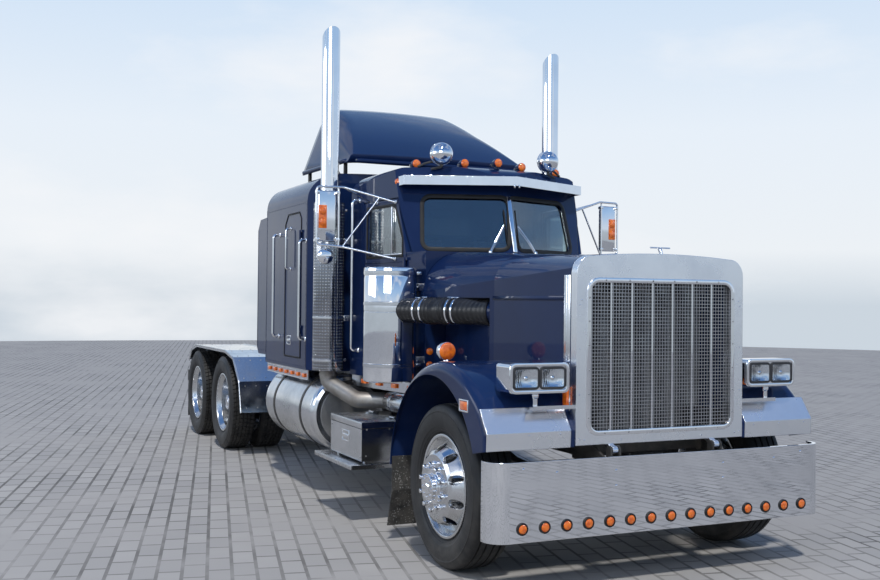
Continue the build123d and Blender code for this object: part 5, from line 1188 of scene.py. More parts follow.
def make_air_cleaners():
    x, y = CLEANER

    @paired(CHROME, "chassis", smooth=40, replaces=("air_cleaners",))
    def air_cleaner_cans(bm):
        spun(bm, ((0.0, 1.07), (0.14, 1.07), (0.15, 1.076), (0.188, 1.076), (0.1975, 1.084), (0.1985, 1.1),
            (0.1985, 1.59), (0.1965, 1.592), (0.1965, 1.598), (0.1985, 1.6), (0.1985, 1.845), (0.196, 1.85),
            (0.196, 1.862), (0.2, 1.864), (0.2, 1.905), (0.196, 1.918), (0.18, 1.926), (0.08, 1.929),
            (0.0, 1.93)), (x, y, 0), Z, 64)

    @paired(STAINLESS, "chassis")
    def air_cleaner_bands(bm):
        for z in (1.185, 1.64, 1.868):
            spun(bm, ((0.1987, z), (0.2018, z + 0.002), (0.2018, z + 0.026), (0.1987, z + 0.028)), (x, y, 0),
                Z, 64, closed=True)
            block(bm, (x + 0.075, y - 0.212, z + 0.002), (x + 0.1, y - 0.178, z + 0.026), 0.003)
        for low, high in ((1.2, 1.26), (1.75, 1.81)):
            block(bm, (x - 0.06, 0.766, low), (x + 0.06, 0.86, high), 0.004)
            heads(bm, [(x + 0.061, 0.8, low + 0.03)], X, 0.008, 0.006, 6)


INTAKE_START = Vector((-1.13, 0.96, 1.605))
INTAKE_MIDDLE = Vector((-0.71, 0.736, 1.605))
INTAKE_END = Vector((-0.38, 0.56, 1.605))


def make_intakes():
    way = (INTAKE_END - INTAKE_START).normalized()
    reach = (INTAKE_MIDDLE - INTAKE_START).length

    @paired(HOSE, "hood", smooth=50)
    def intake_hose_sleeves(bm):
        line = [(0.0905, 0.205), (0.0945, 0.212), (0.0945, 0.232), (0.0925, 0.238)]
        for at in (0.25, 0.282, 0.38, 0.412):
            line += [(0.093, at), (0.0985, at + 0.009), (0.0985, at + 0.016), (0.093, at + 0.025)]
        line += [(0.0945, 0.446), (0.0945, reach - 0.004), (0.0905, reach - 0.002)]
        spun(bm, line, INTAKE_START, way, 40)

    @paired(HOSE, "hood", smooth=50)
    def intake_elbows(bm):
        spun(bm, ((0.0905, reach + 0.002), (0.0935, reach + 0.004), (0.0935, reach + 0.06),
            (0.0925, reach + 0.066), (0.0925, reach + 0.26), (0.1, reach + 0.3), (0.1, reach + 0.33),
            (0.0905, reach + 0.332)), INTAKE_START, way, 40)

    @paired(CHROME, "hood")
    def intake_clamps(bm):
        for at, radius in ((0.15, 0.0905), (0.214, 0.0945), (reach - 0.03, 0.0945), (reach + 0.02, 0.0935)):
            spun(bm, ((radius, at), (radius + 0.003, at + 0.001), (radius + 0.003, at + 0.013),
                (radius, at + 0.014)), INTAKE_START, way, 40, closed=True)
            centre = INTAKE_START + way * (at + 0.007)
            rod(bm, centre + Vector((0.01, 0, radius + 0.004)),
                centre + Vector((-0.035, 0.02, radius + 0.004)), 0.005, segments=8)


def make_stacks():
    x, y = STACK

    @paired(SHIELD_METAL, "chassis", smooth=40, replaces=("exhaust_stacks",))
    def stack_shields(bm):
        spun(bm, ((0.118, 1.086), (0.13, 1.086), (0.132, 1.09), (0.132, 2.494), (0.13, 2.499), (0.118, 2.499),
            (0.118, 2.496), (0.1285, 2.493), (0.1285, 1.092)), (x, y, 0), Z, 64, closed=True)

    @paired(CHROME, "chassis", smooth=40)
    def stack_pipes(bm):
        wall = ((0.076, 1.08), (0.076, 4.02), (0.0725, 4.02), (0.0725, 3.0), (0.0, 3.0), (0.0, 1.08))
        spun(bm, wall, (x, y, 0), Z, 48)
        bmesh.ops.bisect_plane(bm, geom=bm.verts[:] + bm.edges[:] + bm.faces[:], plane_co=(x, y, 3.919),
            plane_no=(-sin(radians(42)), 0, cos(radians(42))), clear_outer=True)
        rim = [e for e in bm.edges if e.is_boundary]
        bmesh.ops.bridge_loops(bm, edges=rim)
        spun(bm, ((0.118, 2.492), (0.118, 2.502), (0.092, 2.506), (0.0765, 2.512)), (x, y, 0), Z, 48)

    @paired(STAINLESS, "chassis")
    def stack_bands(bm):
        for z in (1.16, 1.52, 2.17, 2.43):
            spun(bm, ((0.1322, z), (0.1345, z + 0.001), (0.1345, z + 0.019), (0.1322, z + 0.02)), (x, y, 0),
                Z, 64, closed=True)
            block(bm, (x + 0.02, y - 0.148, z), (x + 0.04, y - 0.128, z + 0.02), 0.002)
        for z in (1.5, 2.15):
            block(bm, (x - 0.03, 0.905, z), (x + 0.062, 0.96, z + 0.05), 0.004)

    @paired(PIPE_GREY, "chassis", smooth=50)
    def stack_elbows(bm):
        pipe(bm, ((x, y, 1.089), (x, y, 0.985), (-2.22, 0.908, 0.85), (-2.08, 0.658, 0.85)), 0.068, 0.09, 24,
            10)
        for z in (1.04, 1.072):
            spun(bm, ((0.068, z), (0.074, z + 0.002), (0.074, z + 0.012), (0.068, z + 0.014)), (x, y, 0), Z,
                32, closed=True)


def make_tanks():
    y, z, radius = 0.866, 0.7, 0.33

    @paired(TANK_METAL, "chassis", smooth=30, replaces=("side_tanks",))
    def tank_bodies(bm):
        spun(bm, ((0.0, -4.05), (0.24, -4.05), (0.285, -4.044), (0.315, -4.028), (0.328, -4.0),
            (0.33, -3.975), (0.33, -3.972), (0.3285, -3.97), (0.33, -3.968), (0.33, -2.612), (0.3285, -2.61),
            (0.33, -2.608), (0.328, -2.58), (0.315, -2.552), (0.29, -2.54), (0.286, -2.546), (0.25, -2.548),
            (0.0, -2.543)), (0, y, z), X, 72)

    @paired(BLACK_STEEL, "chassis")
    def tank_straps(bm):
        for x in (-3.7, -2.88):
            spun(bm, ((radius - 0.001, x - 0.02), (radius + 0.005, x - 0.019), (radius + 0.005, x + 0.019),
                (radius - 0.001, x + 0.02)), (0, y, z), X, 72, closed=True)
            flat(bm, ((0.433, 0.64), (0.56, 0.64), (0.6, 0.52), (0.64, 0.48), (0.64, 0.9), (0.6, 0.94),
                (0.433, 0.96)), "x", x - 0.04, x + 0.04, edge=0.004)

    @paired(CHROME, "chassis", smooth=40)
    def tank_caps(bm):
        base = Vector((-3.3, y + 0.16, z + 0.288))
        way = Vector((0, 0.16, 0.288)).normalized()
        spun(bm, ((0.062, -0.01), (0.062, 0.016), (0.052, 0.02), (0.052, 0.03), (0.058, 0.032), (0.058, 0.05),
            (0.05, 0.056), (0.0, 0.058)), base, way, 32)
        block(bm, base + way * 0.058 + Vector((-0.04, -0.008, -0.004)),
            base + way * 0.058 + Vector((0.04, 0.008, 0.01)), 0.004)

    @paired(DULL_METAL, "chassis", smooth=40)
    def tank_end_discs(bm):
        spun(bm, ((0.0, 0.0), (0.244, -0.001), (0.25, 0.001), (0.247, 0.006), (0.12, 0.012), (0.0, 0.014)),
            (-2.546, y, z), X, 64)

    @paired(TANK_METAL, "chassis", smooth=40)
    def air_tanks(bm):
        spun(bm, ((0.0, -1.76), (0.045, -1.758), (0.068, -1.748), (0.075, -1.732), (0.075, -1.148),
            (0.068, -1.132), (0.045, -1.122), (0.0, -1.12)), (0, 0.8, 0.88), X, 40)
        for x in (-1.62, -1.26):
            spun(bm, ((0.075, x - 0.014), (0.078, x - 0.013), (0.078, x + 0.013), (0.075, x + 0.014)),
                (0, 0.8, 0.88), X, 40, closed=True)
            block(bm, (x - 0.02, 0.433, 0.862), (x + 0.02, 0.74, 0.898), 0.003)


def make_boxes():
    @sided(POLISHED, "lid_{}")
    def lid_lip(bm):
        block(bm, (-2.022, 1.197, 0.724), (-1.318, 1.2045, 0.7705), 0.002)

    @sided(STEP_METAL, "lid_{}")
    def lid_plate(bm):
        block(bm, (-2.016, 0.912, 0.7695), (-1.324, 1.2, 0.7715), 0.0006)

    @paired(DULL_METAL, "chassis")
    def box_bolts(bm):
        heads(bm, [(-1.318, y, 0.715) for y in (0.62, 0.8, 0.98, 1.16)], X, 0.007, 0.005, 6)
        heads(bm, [(-1.318, y, z) for y, z in ((1.165, 0.52), (0.9, 0.515))], X, 0.006, 0.004, 6)
        heads(bm, [(x, 1.2005, z) for x in (-1.99, -1.35) for z in (0.51, 0.69)], Y, 0.006, 0.004, 6)
        heads(bm, [(x, 1.2755, 0.436) for x in (-1.37, -1.44, -2.09, -2.16)], Y, 0.008, 0.005, 6)

    @paired(CHROME, "chassis")
    def box_latches(bm):
        outline_frame(bm, ((-1.6, 0.6), (-1.74, 0.6), (-1.74, 0.67), (-1.6, 0.67)), 0.008, 1.2002, 1.2045,
            0.0015)
        block(bm, (-1.735, 1.2005, 0.622), (-1.605, 1.2085, 0.648), 0.003)

    @paired(STEP_METAL, "chassis")
    def step_treads(bm):
        block(bm, (-2.19, 0.772, 0.4515), (-1.34, 1.262, 0.4545), 0.0008)
        block(bm, (-2.2, 1.262, 0.4195), (-1.33, 1.2775, 0.455), 0.004)


# Sleeper

def add_wall(shell):
    wall = shell.modifiers.new("wall", "SOLIDIFY")
    wall.thickness = 0.012
    wall.offset = -1.0


def make_sleeper_trim():
    @paired(NAVY, "chassis")
    def sleeper_rivets(bm):
        y = 1.1502
        heads(bm, along((-4.17, y, 1.1), (-4.17, y, 2.52), 26), Y, 0.0045, 0.003, 6)
        heads(bm, along((-2.895, y, 1.1), (-2.895, y, 2.52), 26), Y, 0.0045, 0.003, 6)
        heads(bm, along((-4.12, y, 1.085), (-2.94, y, 1.085), 22), Y, 0.0045, 0.003, 6)
        heads(bm, along((-4.12, y, 2.535), (-2.94, y, 2.535), 22), Y, 0.0045, 0.003, 6)
    door = ((-3.045, 1.165), (-3.53, 1.165), (-3.53, 2.372), (-3.447, 2.455), (-3.098, 2.455),
        (-3.045, 2.402))
    bm = bmesh.new()
    outline_frame(bm, door, 0.01, 0.0, 0.006, 0.002)
    bmesh.ops.scale(bm, vec=(1, -1, 1), verts=bm.verts)
    bmesh.ops.translate(bm, vec=(0, -1.1502, 0), verts=bm.verts)
    piece("berth_door_edge", bm, RUBBER, "berth_door")
    bm = bmesh.new()
    pipe(bm, ((-3.365, -1.149, 1.96), (-3.365, -1.195, 1.96), (-3.365, -1.195, 2.33), (-3.365, -1.149, 2.33)),
        0.01, 0.02, 12)
    for z in (1.96, 2.33):
        rod(bm, (-3.365, -1.1495, z), (-3.365, -1.156, z), 0.02, 0.018, 16, edge=0.002)
    outline_frame(bm, ((-3.34, 1.27), (-3.44, 1.27), (-3.44, 1.34), (-3.34, 1.34)), 0.008, 1.1503, 1.1555,
        0.0015)
    for v in bm.verts:
        if v.co.y > 0:
            v.co.y = -v.co.y
    block(bm, (-3.432, -1.1585, 1.292), (-3.348, -1.1505, 1.318), 0.003)
    piece("berth_door_handles", bm, CHROME, "berth_door")

    @paired(NAVY, "chassis")
    def sleeper_seams(bm):
        for x in (-2.88, -4.185):
            block(bm, (x - 0.004, 1.1492, 1.075), (x + 0.004, 1.1522, 2.555), 0.001)

    @paired(NAVY, "chassis")
    def extender_rivets(bm):
        block(bm, (-4.745, 1.0895, 1.185), (-4.735, 1.0925, 2.395), 0.001)
        heads(bm, along((-4.26, 1.0905, 1.16), (-4.26, 1.0905, 2.48), 16), Y, 0.005, 0.003, 6)
        heads(bm, along((-4.26, 1.0905, 1.16), (-4.66, 1.0905, 1.16), 6), Y, 0.005, 0.003, 6)

    @paired(CHROME, "chassis")
    def grab_bar_feet(bm):
        for x, low, high in ((-2.89, 1.33, 2.2), (-3.72, 1.33, 2.29)):
            for z in (low, high):
                rod(bm, (x, 1.1502, z), (x, 1.16, z), 0.024, 0.021, 20, edge=0.002)
        for z in (1.26, 2.51):
            y = cab_side_y(-2.27)
            rod(bm, (-2.27, y - 0.002, z), (-2.27, y + 0.01, z), 0.024, 0.021, 20, edge=0.002)


def make_sleeper_back():
    """Seams, rivets and two work lamps on the wall behind the bunk."""
    bm = bmesh.new()
    for y in (-0.56, 0.0, 0.56):
        block(bm, (-4.1935, y - 0.006, 1.12), (-4.1895, y + 0.006, 2.52), 0.0015)
        clear = [z for z in [1.16 + 0.07 * index for index in range(20)] if not 1.35 < z < 1.56]
        for side in (-0.022, 0.022):
            if y or side > 0:
                heads(bm, [(-4.1902, y + side, z) for z in clear], -X, 0.0045, 0.003, 6)
    for z in (1.1, 2.53):
        heads(bm, [(-4.1902, -1.0 + 0.1 * index, z) for index in range(21)], -X, 0.0045, 0.003, 6)
    piece("sleeper_back_seams", bm, NAVY, "chassis")

    @paired(CHROME, "chassis", smooth=45)
    def work_lamps(bm):
        spun(bm, ((0.0, 0.0), (0.02, 0.0), (0.02, 0.014), (0.052, 0.03), (0.058, 0.046), (0.058, 0.056),
            (0.052, 0.06), (0.05, 0.05)), (-4.1902, 0.78, 2.38), (-1.0, 0.0, -0.18), 32)
        block(bm, (-4.202, 0.75, 2.35), (-4.19, 0.81, 2.41), 0.004)

    @paired(LENS, "chassis", smooth=60)
    def work_lamp_lenses(bm):
        spun(bm, ((0.0505, 0.052), (0.036, 0.061), (0.018, 0.065), (0.0, 0.066)), (-4.1902, 0.78, 2.38),
            (-1.0, 0.0, -0.18), 32)


def make_boot():
    """The bellows between cab and sleeper: folds of rubber round the gap."""
    bm = bmesh.new()
    loops = []
    steps = 13
    for index in range(steps):
        x = -2.655 + 0.23 * index / (steps - 1)
        out = 0.0 if index % 2 == 0 else -0.03
        verts = [bm.verts.new((x, a, 1.73 + b)) for a,
            b in corners_round(1.12 + 2 * out, 1.26 + 2 * out, 0.06)]
        loops.append([bm.edges.new(pair) for pair in zip(verts, verts[1:] + verts[:1])])
    for first, second in zip(loops, loops[1:]):
        bmesh.ops.bridge_loops(bm, edges=first + second)
    shell = piece("cab_bellows", bm, RUBBER, "chassis", ("cab_boot",), 30)
    add_wall(shell)


def make_deflector():
    stations = 22
    rows = []
    bm = bmesh.new()
    for index in range(stations):
        u = index / (stations - 1)
        x = -2.6 - 1.15 * u
        half = 0.88 + 0.05 * u ** 1.2
        top = 2.88 + 0.07 + 0.6 * (1.27 * u - 0.27 * u * u)
        upper = 0.85 - 0.15 * u ** 0.9
        drop = min(0.2, (top - 2.88) * 0.45)
        corner = []
        start = (upper + 0.29 * drop, top - drop)
        bend = (upper - 0.02 * u, top)
        stop = (upper - drop, top)
        for step in range(9):
            t = step / 8
            corner.append(tuple((1 - t) ** 2 * start[k] + 2 * t * (1 - t) * bend[k] + t * t * stop[k]
                for k in (0, 1)))
        side = [(half, 2.88)] + [(half + (corner[0][0] - half) * t, 2.88 + (corner[0][1] - 2.88) * t)
            for t in (0.25, 0.5, 0.75)]
        line = side + corner + [((upper - drop) * t, top + 0.012 * (1 - t * t)) for t in (0.66, 0.33)]
        line += [(0.0, top + 0.012)] + [(-y, z) for y, z in reversed(line)]
        rows.append([bm.verts.new((x, y, z)) for y, z in line])
    for first, second in zip(rows, rows[1:]):
        for a, b, c, d in zip(first, first[1:], second[1:], second):
            bm.faces.new((a, b, c, d))
    foot = [bm.verts.new((-2.6, v.co.y, 2.88)) for v in rows[0][1:-1]]
    foot = [rows[0][0]] + foot + [rows[0][-1]]
    for a, b, c, d in zip(rows[0], rows[0][1:], foot[1:], foot):
        bm.faces.new([v for index, v in enumerate((a, b, c, d)) if v not in (a, b, c, d)[:index]])
    shell = piece("deflector_shell", bm, NAVY, "chassis", ("roof_deflector",), 50)
    add_wall(shell)
    bm = bmesh.new()
    pipe(bm, ((-3.7, -0.926, 2.896), (-2.604, -0.874, 2.896), (-2.604, 0.874, 2.896), (-3.7, 0.926, 2.896)),
        0.021, 0.14, 14, 10)
    piece("deflector_bead", bm, NAVY, "chassis")

    @paired(BLACK_STEEL, "chassis")
    def deflector_struts(bm):
        for x, y in ((-2.76, 0.84), (-3.63, 0.89)):
            low = 2.688 if x > -3 else 2.672
            rod(bm, (x, y, low), (x, y, 2.9), 0.018, segments=16)
            block(bm, (x - 0.05, y - 0.03, low + 0.002), (x + 0.05, y + 0.03, low + 0.012), 0.003)
            heads(bm, [(x - 0.035, y, low + 0.012), (x + 0.035, y, low + 0.012)], Z, 0.008, 0.005, 6)
        rod(bm, (-2.78, 0.84, 2.705), (-3.04, 0.845, 2.905), 0.01, segments=12)


# Rear

TAIL_LAMP_Y = (1.085, 0.93, 0.775)


def make_rear():
    line = ((-4.95, 0.476), (-5.045, 0.8), (-5.33, 1.045), (-5.7, 1.104), (-7.24, 1.104), (-7.54, 1.045),
        (-7.7, 0.9))

    @paired(POLISHED, "chassis")
    def rear_fender_beads(bm):
        for y in (0.603, 1.202):
            pipe(bm, [(x, y, z) for x, z in line], 0.0085, 0.1, 10, 5)

    @paired(DULL_METAL, "chassis")
    def rear_fender_bolts(bm):
        for (x0, z0), (x1, z1) in zip(line, line[1:]):
            way = Vector((x1 - x0, 0, z1 - z0)).normalized()
            up = Vector((way.z, 0, -way.x))
            if up.z < 0:
                up = -up
            spots = [Vector((x0, 0, z0)) + way * 0.05 + up * 0.001,
                Vector((x1, 0, z1)) - way * 0.05 + up * 0.001]
            for spot in spots:
                heads(bm, [spot + Vector((0, y, 0)) for y in (0.66, 0.78, 0.9, 1.02, 1.14)], up, 0.007, 0.004,
                    6)
    bm = bmesh.new()
    block(bm, (-5.445, -0.47, 1.0275), (-4.255, 0.47, 1.0305), 0.001)
    piece("deck_tread", bm, STEP_METAL, "chassis")

    @paired(RED_LENS, "chassis", smooth=50)
    def tail_lamps(bm):
        for y in TAIL_LAMP_Y:
            spun(bm, ((0.058, 0.0), (0.058, 0.008), (0.048, 0.016), (0.025, 0.02), (0.0, 0.021)),
                (-7.7595, y, 0.69), -X, 32)

    @paired(CHROME, "chassis")
    def tail_lamp_rings(bm):
        for y in TAIL_LAMP_Y:
            spun(bm, ((0.0585, 0.0), (0.066, 0.001), (0.066, 0.006), (0.0585, 0.01)), (-7.7598, y, 0.69), -X,
                32, closed=True)
        heads(bm, [(-7.76, y, z) for y in (0.4, 0.46) for z in (0.655, 0.725)], -X, 0.01, 0.007, 6)
    bm = bmesh.new()
    ring_frame(bm, 0.315, 0.165, 0.012, 0.01, 0.006, Matrix.Translation((-7.76, 0, 0.69))
        @ Matrix.Rotation(-pi / 2, 4, "Y") @ Matrix.Rotation(pi / 2, 4, "Z"), edge=0.002)
    block(bm, (-7.764, -0.05, 0.768), (-7.74, 0.05, 0.79), 0.004)
    piece("plate_frame", bm, CHROME, "chassis")

    @paired(STAINLESS, "chassis")
    def mud_flap_weights(bm):
        flat(bm, ((0.66, 0.19), (1.15, 0.19), (1.11, 0.262), (0.7, 0.262)), "x", -7.712, -7.703, edge=0.003)
        heads(bm, [(-7.69, y, 0.598) for y in (0.66, 0.78, 0.9, 1.02, 1.14)], -X, 0.01, 0.006, 6)


def make_fifth_wheel():
    @paired(GREASED, "fifth_wheel_top")
    def fifth_wheel_wear_pads(bm):
        for x0, x1, y0, y1 in ((-6.05, -6.18, 0.06, 0.4), (-6.4, -6.58, 0.16, 0.4)):
            block(bm, (x1, y0, 1.2395), (x0, y1, 1.2415), 0.0008)
        rod(bm, (-6.3, 0.38, 1.13), (-6.3, 0.412, 1.13), 0.04, 0.036, 24, edge=0.003)

    @paired(DULL_METAL, "chassis")
    def fifth_wheel_bolts(bm):
        heads(bm, [(x, 0.415, 1.035) for x in (-6.41, -6.36, -6.24, -6.19)], Y, 0.014, 0.01, 6)
        rod(bm, (-6.3, 0.4, 1.13), (-6.3, 0.418, 1.13), 0.026, segments=16, edge=0.002)
    bm = bmesh.new()
    pipe(bm, ((-6.02, -0.3, 1.205), (-5.95, -0.44, 1.2), (-5.99, -0.5, 1.2)), 0.009, 0.03, 12)
    piece("fifth_wheel_release", bm, DULL_METAL, "fifth_wheel_top")


# Chassis details

def make_chassis_details():
    @paired(BLACK_STEEL, "chassis")
    def brake_chambers(bm):
        for _, axle_x in DRIVE_X:
            spun(bm, ((0.0, -0.055), (0.06, -0.055), (0.078, -0.04), (0.08, -0.008), (0.09, -0.004),
                (0.09, 0.004), (0.08, 0.008), (0.078, 0.05), (0.084, 0.054), (0.084, 0.062), (0.078, 0.066),
                (0.076, 0.12), (0.06, 0.14), (0.0, 0.142)), (axle_x + 0.15, 0.3, 0.69), (1.0, 0.0, 0.25), 32)
            rod(bm, (axle_x + 0.1, 0.3, 0.678), (axle_x + 0.01, 0.3, 0.6), 0.01, segments=10)
            block(bm, (axle_x - 0.02, 0.28, 0.56), (axle_x + 0.04, 0.32, 0.66), 0.006)

    @paired(DULL_METAL, "chassis")
    def rail_bolts(bm):
        for station in (-2.62, -3.9, -5.15, -5.465, -6.48, -7.465):
            heads(bm, [(station + dx, 0.4325, z) for dx in (-0.035, 0.035) for z in (0.81, 0.885, 0.96)], Y,
                0.011, 0.008, 6)

    @paired(DULL_METAL, "chassis")
    def axle_cover_bolts(bm):
        for _, axle_x in DRIVE_X:
            heads(bm, [(axle_x - 0.181, 0.15 * sin(radians(angle)), 0.515 + 0.15 * cos(radians(angle)))
                for angle in range(15, 180, 30)], -X, 0.011, 0.008, 6)

    @paired(RUBBER, "chassis", smooth=60)
    def air_spring_bellows(bm):
        for _, axle_x in DRIVE_X:
            spun(bm, ((0.079, 0.0), (0.084, 0.006), (0.11, 0.03), (0.115, 0.055), (0.108, 0.078),
                (0.088, 0.09), (0.079, 0.095)), (axle_x - 0.39, 0.43, 0.635), Z, 36)
    bm = bmesh.new()
    for side in (-1, 1):
        for index in range(3):
            y = side * (0.1 + 0.05 * index)
            pipe(bm, ((-4.262, y, 1.45), (-4.36, y, 1.45), (-4.6 - 0.03 * index, y * 1.1, 1.16),
                (-4.8, y, 1.2), (-4.9, y, 1.06)), 0.009, 0.07, 8)
    piece("trailer_air_lines", bm, RUBBER, "chassis")
    bm = bmesh.new()
    block(bm, (-4.215, -0.24, 1.39), (-4.192, 0.24, 1.52), 0.006)
    for side in (-1, 1):
        for index in range(3):
            rod(bm, (-4.212, side * (0.1 + 0.05 * index), 1.45), (-4.262, side * (0.1 + 0.05 * index), 1.45),
                0.016, segments=12, edge=0.002)
    block(bm, (-4.92, -0.26, 1.022), (-4.88, 0.26, 1.066), 0.006)
    piece("air_line_plate", bm, DULL_METAL, "chassis")


# Engine, seen with the hood up

def make_engine():
    bm = bmesh.new()
    block(bm, (-0.96, -0.15, 1.598), (0.24, 0.15, 1.662), 0.022, 3)
    for index in range(7):
        block(bm, (-0.93 + 0.18 * index, -0.11, 1.655), (-0.905 + 0.18 * index, 0.11, 1.668), 0.004)
    heads(bm, [(x, side * 0.165, 1.6005) for x in (-0.9, -0.7, -0.5, -0.3, -0.1, 0.1, 0.2)
        for side in (-1, 1)], Z, 0.01, 0.012, 6)
    piece("rocker_cover", bm, CHROME, "chassis")
    bm = bmesh.new()
    for index in range(6):
        x = -0.86 + 0.19 * index
        pipe(bm, ((x, 0.325, 1.48), (x, 0.41, 1.48), (x, 0.43, 1.4)), 0.032, 0.05, 14)
        block(bm, (x - 0.055, 0.3295, 1.43), (x + 0.055, 0.345, 1.53), 0.006)
    pipe(bm, ((-0.9, 0.43, 1.38), (0.13, 0.43, 1.38)), 0.052, 0.05, 18)
    spun(bm, ((0.0, -0.07), (0.075, -0.065), (0.115, -0.03), (0.125, 0.0), (0.115, 0.03), (0.07, 0.06),
        (0.0, 0.07)), (-0.42, 0.5, 1.27), X, 36)
    piece("exhaust_manifold", bm, PIPE_GREY, "chassis", smooth=45)
    bm = bmesh.new()
    pipe(bm, ((-0.86, -0.4, 1.47), (0.15, -0.4, 1.47)), 0.06, 0.05, 18)
    for index in range(6):
        x = -0.8 + 0.18 * index
        rod(bm, (x, -0.325, 1.47), (x, -0.4, 1.47), 0.034, segments=16)
    for index in range(3):
        rod(bm, (-0.6 + 0.17 * index, -0.395, 0.96), (-0.6 + 0.17 * index, -0.395, 1.19), 0.06, segments=28,
            edge=0.008)
        block(bm, (-0.66 + 0.17 * index, -0.395, 1.185), (-0.54 + 0.17 * index, -0.3295, 1.235), 0.006)
    block(bm, (-0.98, -0.405, 1.0), (-0.76, -0.3295, 1.3), 0.012)
    heads(bm, [(x, -0.3305, z) for x in (0.26, 0.1, -0.08) for z in (0.8, 0.9, 1.28)], -Y, 0.014, 0.012, 6)
    piece("intake_side_parts", bm, IRON, "chassis")
    bm = bmesh.new()
    for index in range(8):
        local = bmesh.new()
        flat(local, ((-0.03, 0.06), (0.03, 0.06), (0.075, 0.33), (-0.045, 0.34)), "x", -0.002, 0.002,
            edge=0.0008)
        turn = Matrix.Rotation(2 * pi * index / 8, 4, "X") @ Matrix.Rotation(radians(28), 4, "Z")
        merged(bm, local, Matrix.Translation((0.345, 0, 1.25)) @ turn)
    rod(bm, (0.3295, 0, 1.25), (0.36, 0, 1.25), 0.085, 0.08, 32, edge=0.004)
    for y, z, radius in ((0.0, 0.93, 0.1), (0.235, 1.04, 0.05), (-0.23, 1.06, 0.055)):
        spun(bm, ((0.0, 0.0), (radius, 0.0), (radius, 0.004), (radius - 0.01, 0.01), (radius, 0.016),
            (radius, 0.02), (0.0, 0.022)), (0.33, y, z), X, 32)
    piece("fan_and_pulleys", bm, BLACK_STEEL, "chassis")
    bm = bmesh.new()
    pipe(bm, ((0.2, -0.25, 1.61), (0.2, -0.25, 1.7), (0.395, -0.25, 1.7)), 0.03, 0.06, 16)
    pipe(bm, ((0.1, 0.335, 0.85), (0.1, 0.4, 0.85), (0.378, 0.4, 0.89)), 0.03, 0.05, 16)
    pipe(bm, ((-0.1, -0.4, 1.53), (-0.1, -0.4, 1.6), (0.375, -0.39, 1.6)), 0.036, 0.07, 16)
    piece("coolant_hoses", bm, HOSE, "chassis", smooth=50)


# Cab and sleeper inside

def cushion(bm, low, high, axis, rise):
    """A stuffed block: the broad face on one axis swells to its middle, and the edges fall off softly."""
    local = bmesh.new()
    block(local, low, high)
    bmesh.ops.subdivide_edges(local, edges=local.edges[:], cuts=7, use_grid_fill=True)
    middle, half = (Vector(low) + Vector(high)) / 2, (Vector(high) - Vector(low)) / 2
    for v in local.verts:
        share = [(v.co[k] - middle[k]) / half[k] for k in range(3)]
        across = [abs(share[k]) for k in range(3) if k != axis]
        if share[axis] > 0:
            v.co[axis] += rise * (1 - across[0] ** 2.6) * (1 - across[1] ** 2.6)
            v.co[axis] -= 0.7 * half[axis] * max(across) ** 9
    merged(bm, local)


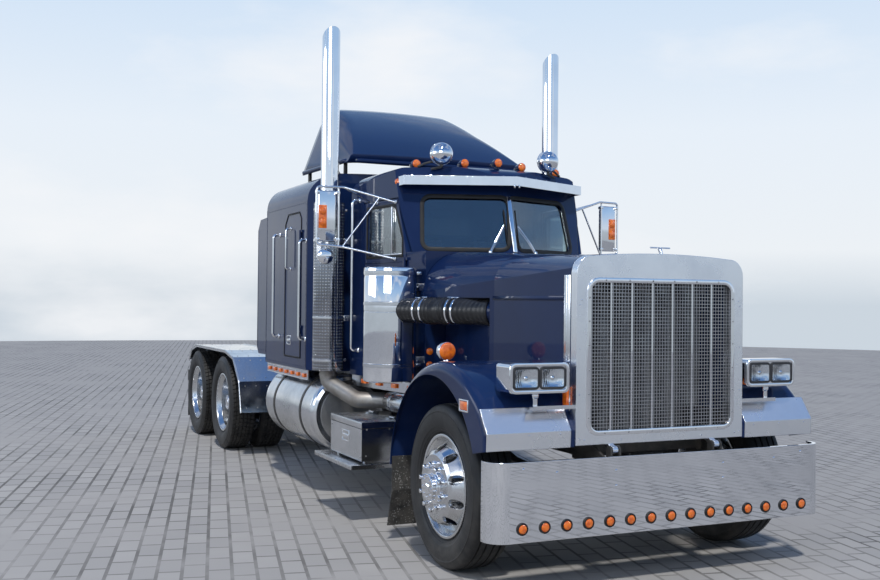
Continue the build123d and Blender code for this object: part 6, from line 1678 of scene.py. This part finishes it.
def make_inside():
    bm = bmesh.new()
    for index in range(3):
        x = -2.215 + 0.128 * index
        cushion(bm, (x, 0.175, 1.545), (x + 0.124, 0.625, 1.572), 2, 0.014)
    for index in range(4):
        low = 0.03 + 0.15 * index
        lean = -0.08 * (low + 0.07) / 0.64
        cushion(bm, (-2.13 + lean, 0.185, 1.56 + low), (-2.104 + lean, 0.615, 1.56 + low + 0.146), 0, 0.014)
    other_side(bm)
    piece("seat_pads", bm, CLOTH, "chassis", smooth=70)
    bm = bmesh.new()
    for index in range(6):
        y = -1.04 + 0.348 * index
        cushion(bm, (-4.125, y, 1.64), (-3.255, y + 0.344, 1.672), 2, 0.022)
    piece("bunk_mattress", bm, CLOTH, "chassis", smooth=70)
    bm = bmesh.new()
    for y, z, radius in ((0.53, 1.79, 0.055), (0.4, 1.8, 0.06), (0.27, 1.79, 0.055), (0.17, 1.835, 0.032),
            (0.17, 1.755, 0.032), (0.08, 1.835, 0.032), (0.08, 1.755, 0.032)):
        x = -1.44 + 0.02 * (1.9 - z) / 0.34
        spun(bm, ((0.0, 0.0), (radius, 0.0), (radius, 0.012), (radius - 0.008, 0.014), (radius - 0.01, 0.006),
            (0.0, 0.006)), (x + 0.001, y, z), -X, 36)
    for index in range(8):
        block(bm, (-1.4345, -0.44 + 0.055 * index, 1.7), (-1.424, -0.4 + 0.055 * index, 1.722), 0.003)
    piece("dash_dials", bm, CHROME, "chassis", smooth=40)
    bm = bmesh.new()
    for y0, y1, z0, z1 in ((-0.6, -0.1, 1.6, 1.68), (-0.6, -0.35, 1.74, 1.86), (-0.3, -0.05, 1.74, 1.86)):
        block(bm, (-1.4475, y0, z0), (-1.4255, y1, z1), 0.008)
    for index in range(5):
        block(bm, (-1.448, -0.585, 1.755 + 0.02 * index), (-1.443, -0.365, 1.763 + 0.02 * index), 0.002)
    pipe(bm, ((-1.62, -0.06, 1.09), (-1.66, -0.02, 1.36), (-1.72, 0.0, 1.64)), 0.011, 0.2, 12)
    spun(bm, ((0.0, -0.03), (0.018, -0.026), (0.026, 0.0), (0.022, 0.022), (0.0, 0.03)),
        (-1.722, 0.001, 1.655), Z, 20)
    piece("dash_panels", bm, PLASTIC, "chassis", smooth=40)
    bm = bmesh.new()
    axis = Vector((-sin(radians(50)), 0, cos(radians(50))))
    hub = Vector((-1.64, 0.4, 1.8))
    ring = []
    for index in range(25):
        angle = 2 * pi * index / 24
        ring.append((0.0165 * cos(angle), 0.0165 * sin(angle)))
    spun(bm, [(0.225 + a, b) for a, b in ring[:-1]], hub, axis, 64, closed=True)
    spun(bm, ((0.0, 0.012), (0.03, 0.014), (0.052, 0.011), (0.056, 0.002), (0.05, -0.012), (0.0, -0.014)),
        hub, axis, 36)
    piece("steering_grip", bm, PLASTIC, "steering_hand_wheel", smooth=60)
    bm = bmesh.new()
    for index in range(3):
        turn = facing(axis, hub) @ Matrix.Rotation(radians(90 + 120 * index), 4, "Z")
        local = bmesh.new()
        flat(local, ((0.04, -0.019), (0.212, -0.0135), (0.212, 0.0135), (0.04, 0.019)), "z", -0.0125, 0.0125,
            edge=0.005)
        merged(bm, local, turn)
    piece("steering_spokes", bm, STAINLESS, "steering_hand_wheel")


finish_cad()
make_tyres()
make_wheel_fittings()
make_rim_edges()
make_grille()
make_ornament()
make_hood_trim()
make_guard_trim()
make_headlamps()
make_turn_lamps()
make_bumper_trim()
make_roof_lamps()
make_windshield()
make_visor_trim()
make_doors()
make_cab_trim()
make_mirrors()
make_air_cleaners()
make_intakes()
make_stacks()
make_tanks()
make_boxes()
make_fender_side_lamps()
make_sleeper_trim()
make_sleeper_back()
make_boot()
make_deflector()
make_rear()
make_fifth_wheel()
make_chassis_details()
make_engine()
make_inside()
make_view()
make_light()
make_floor()
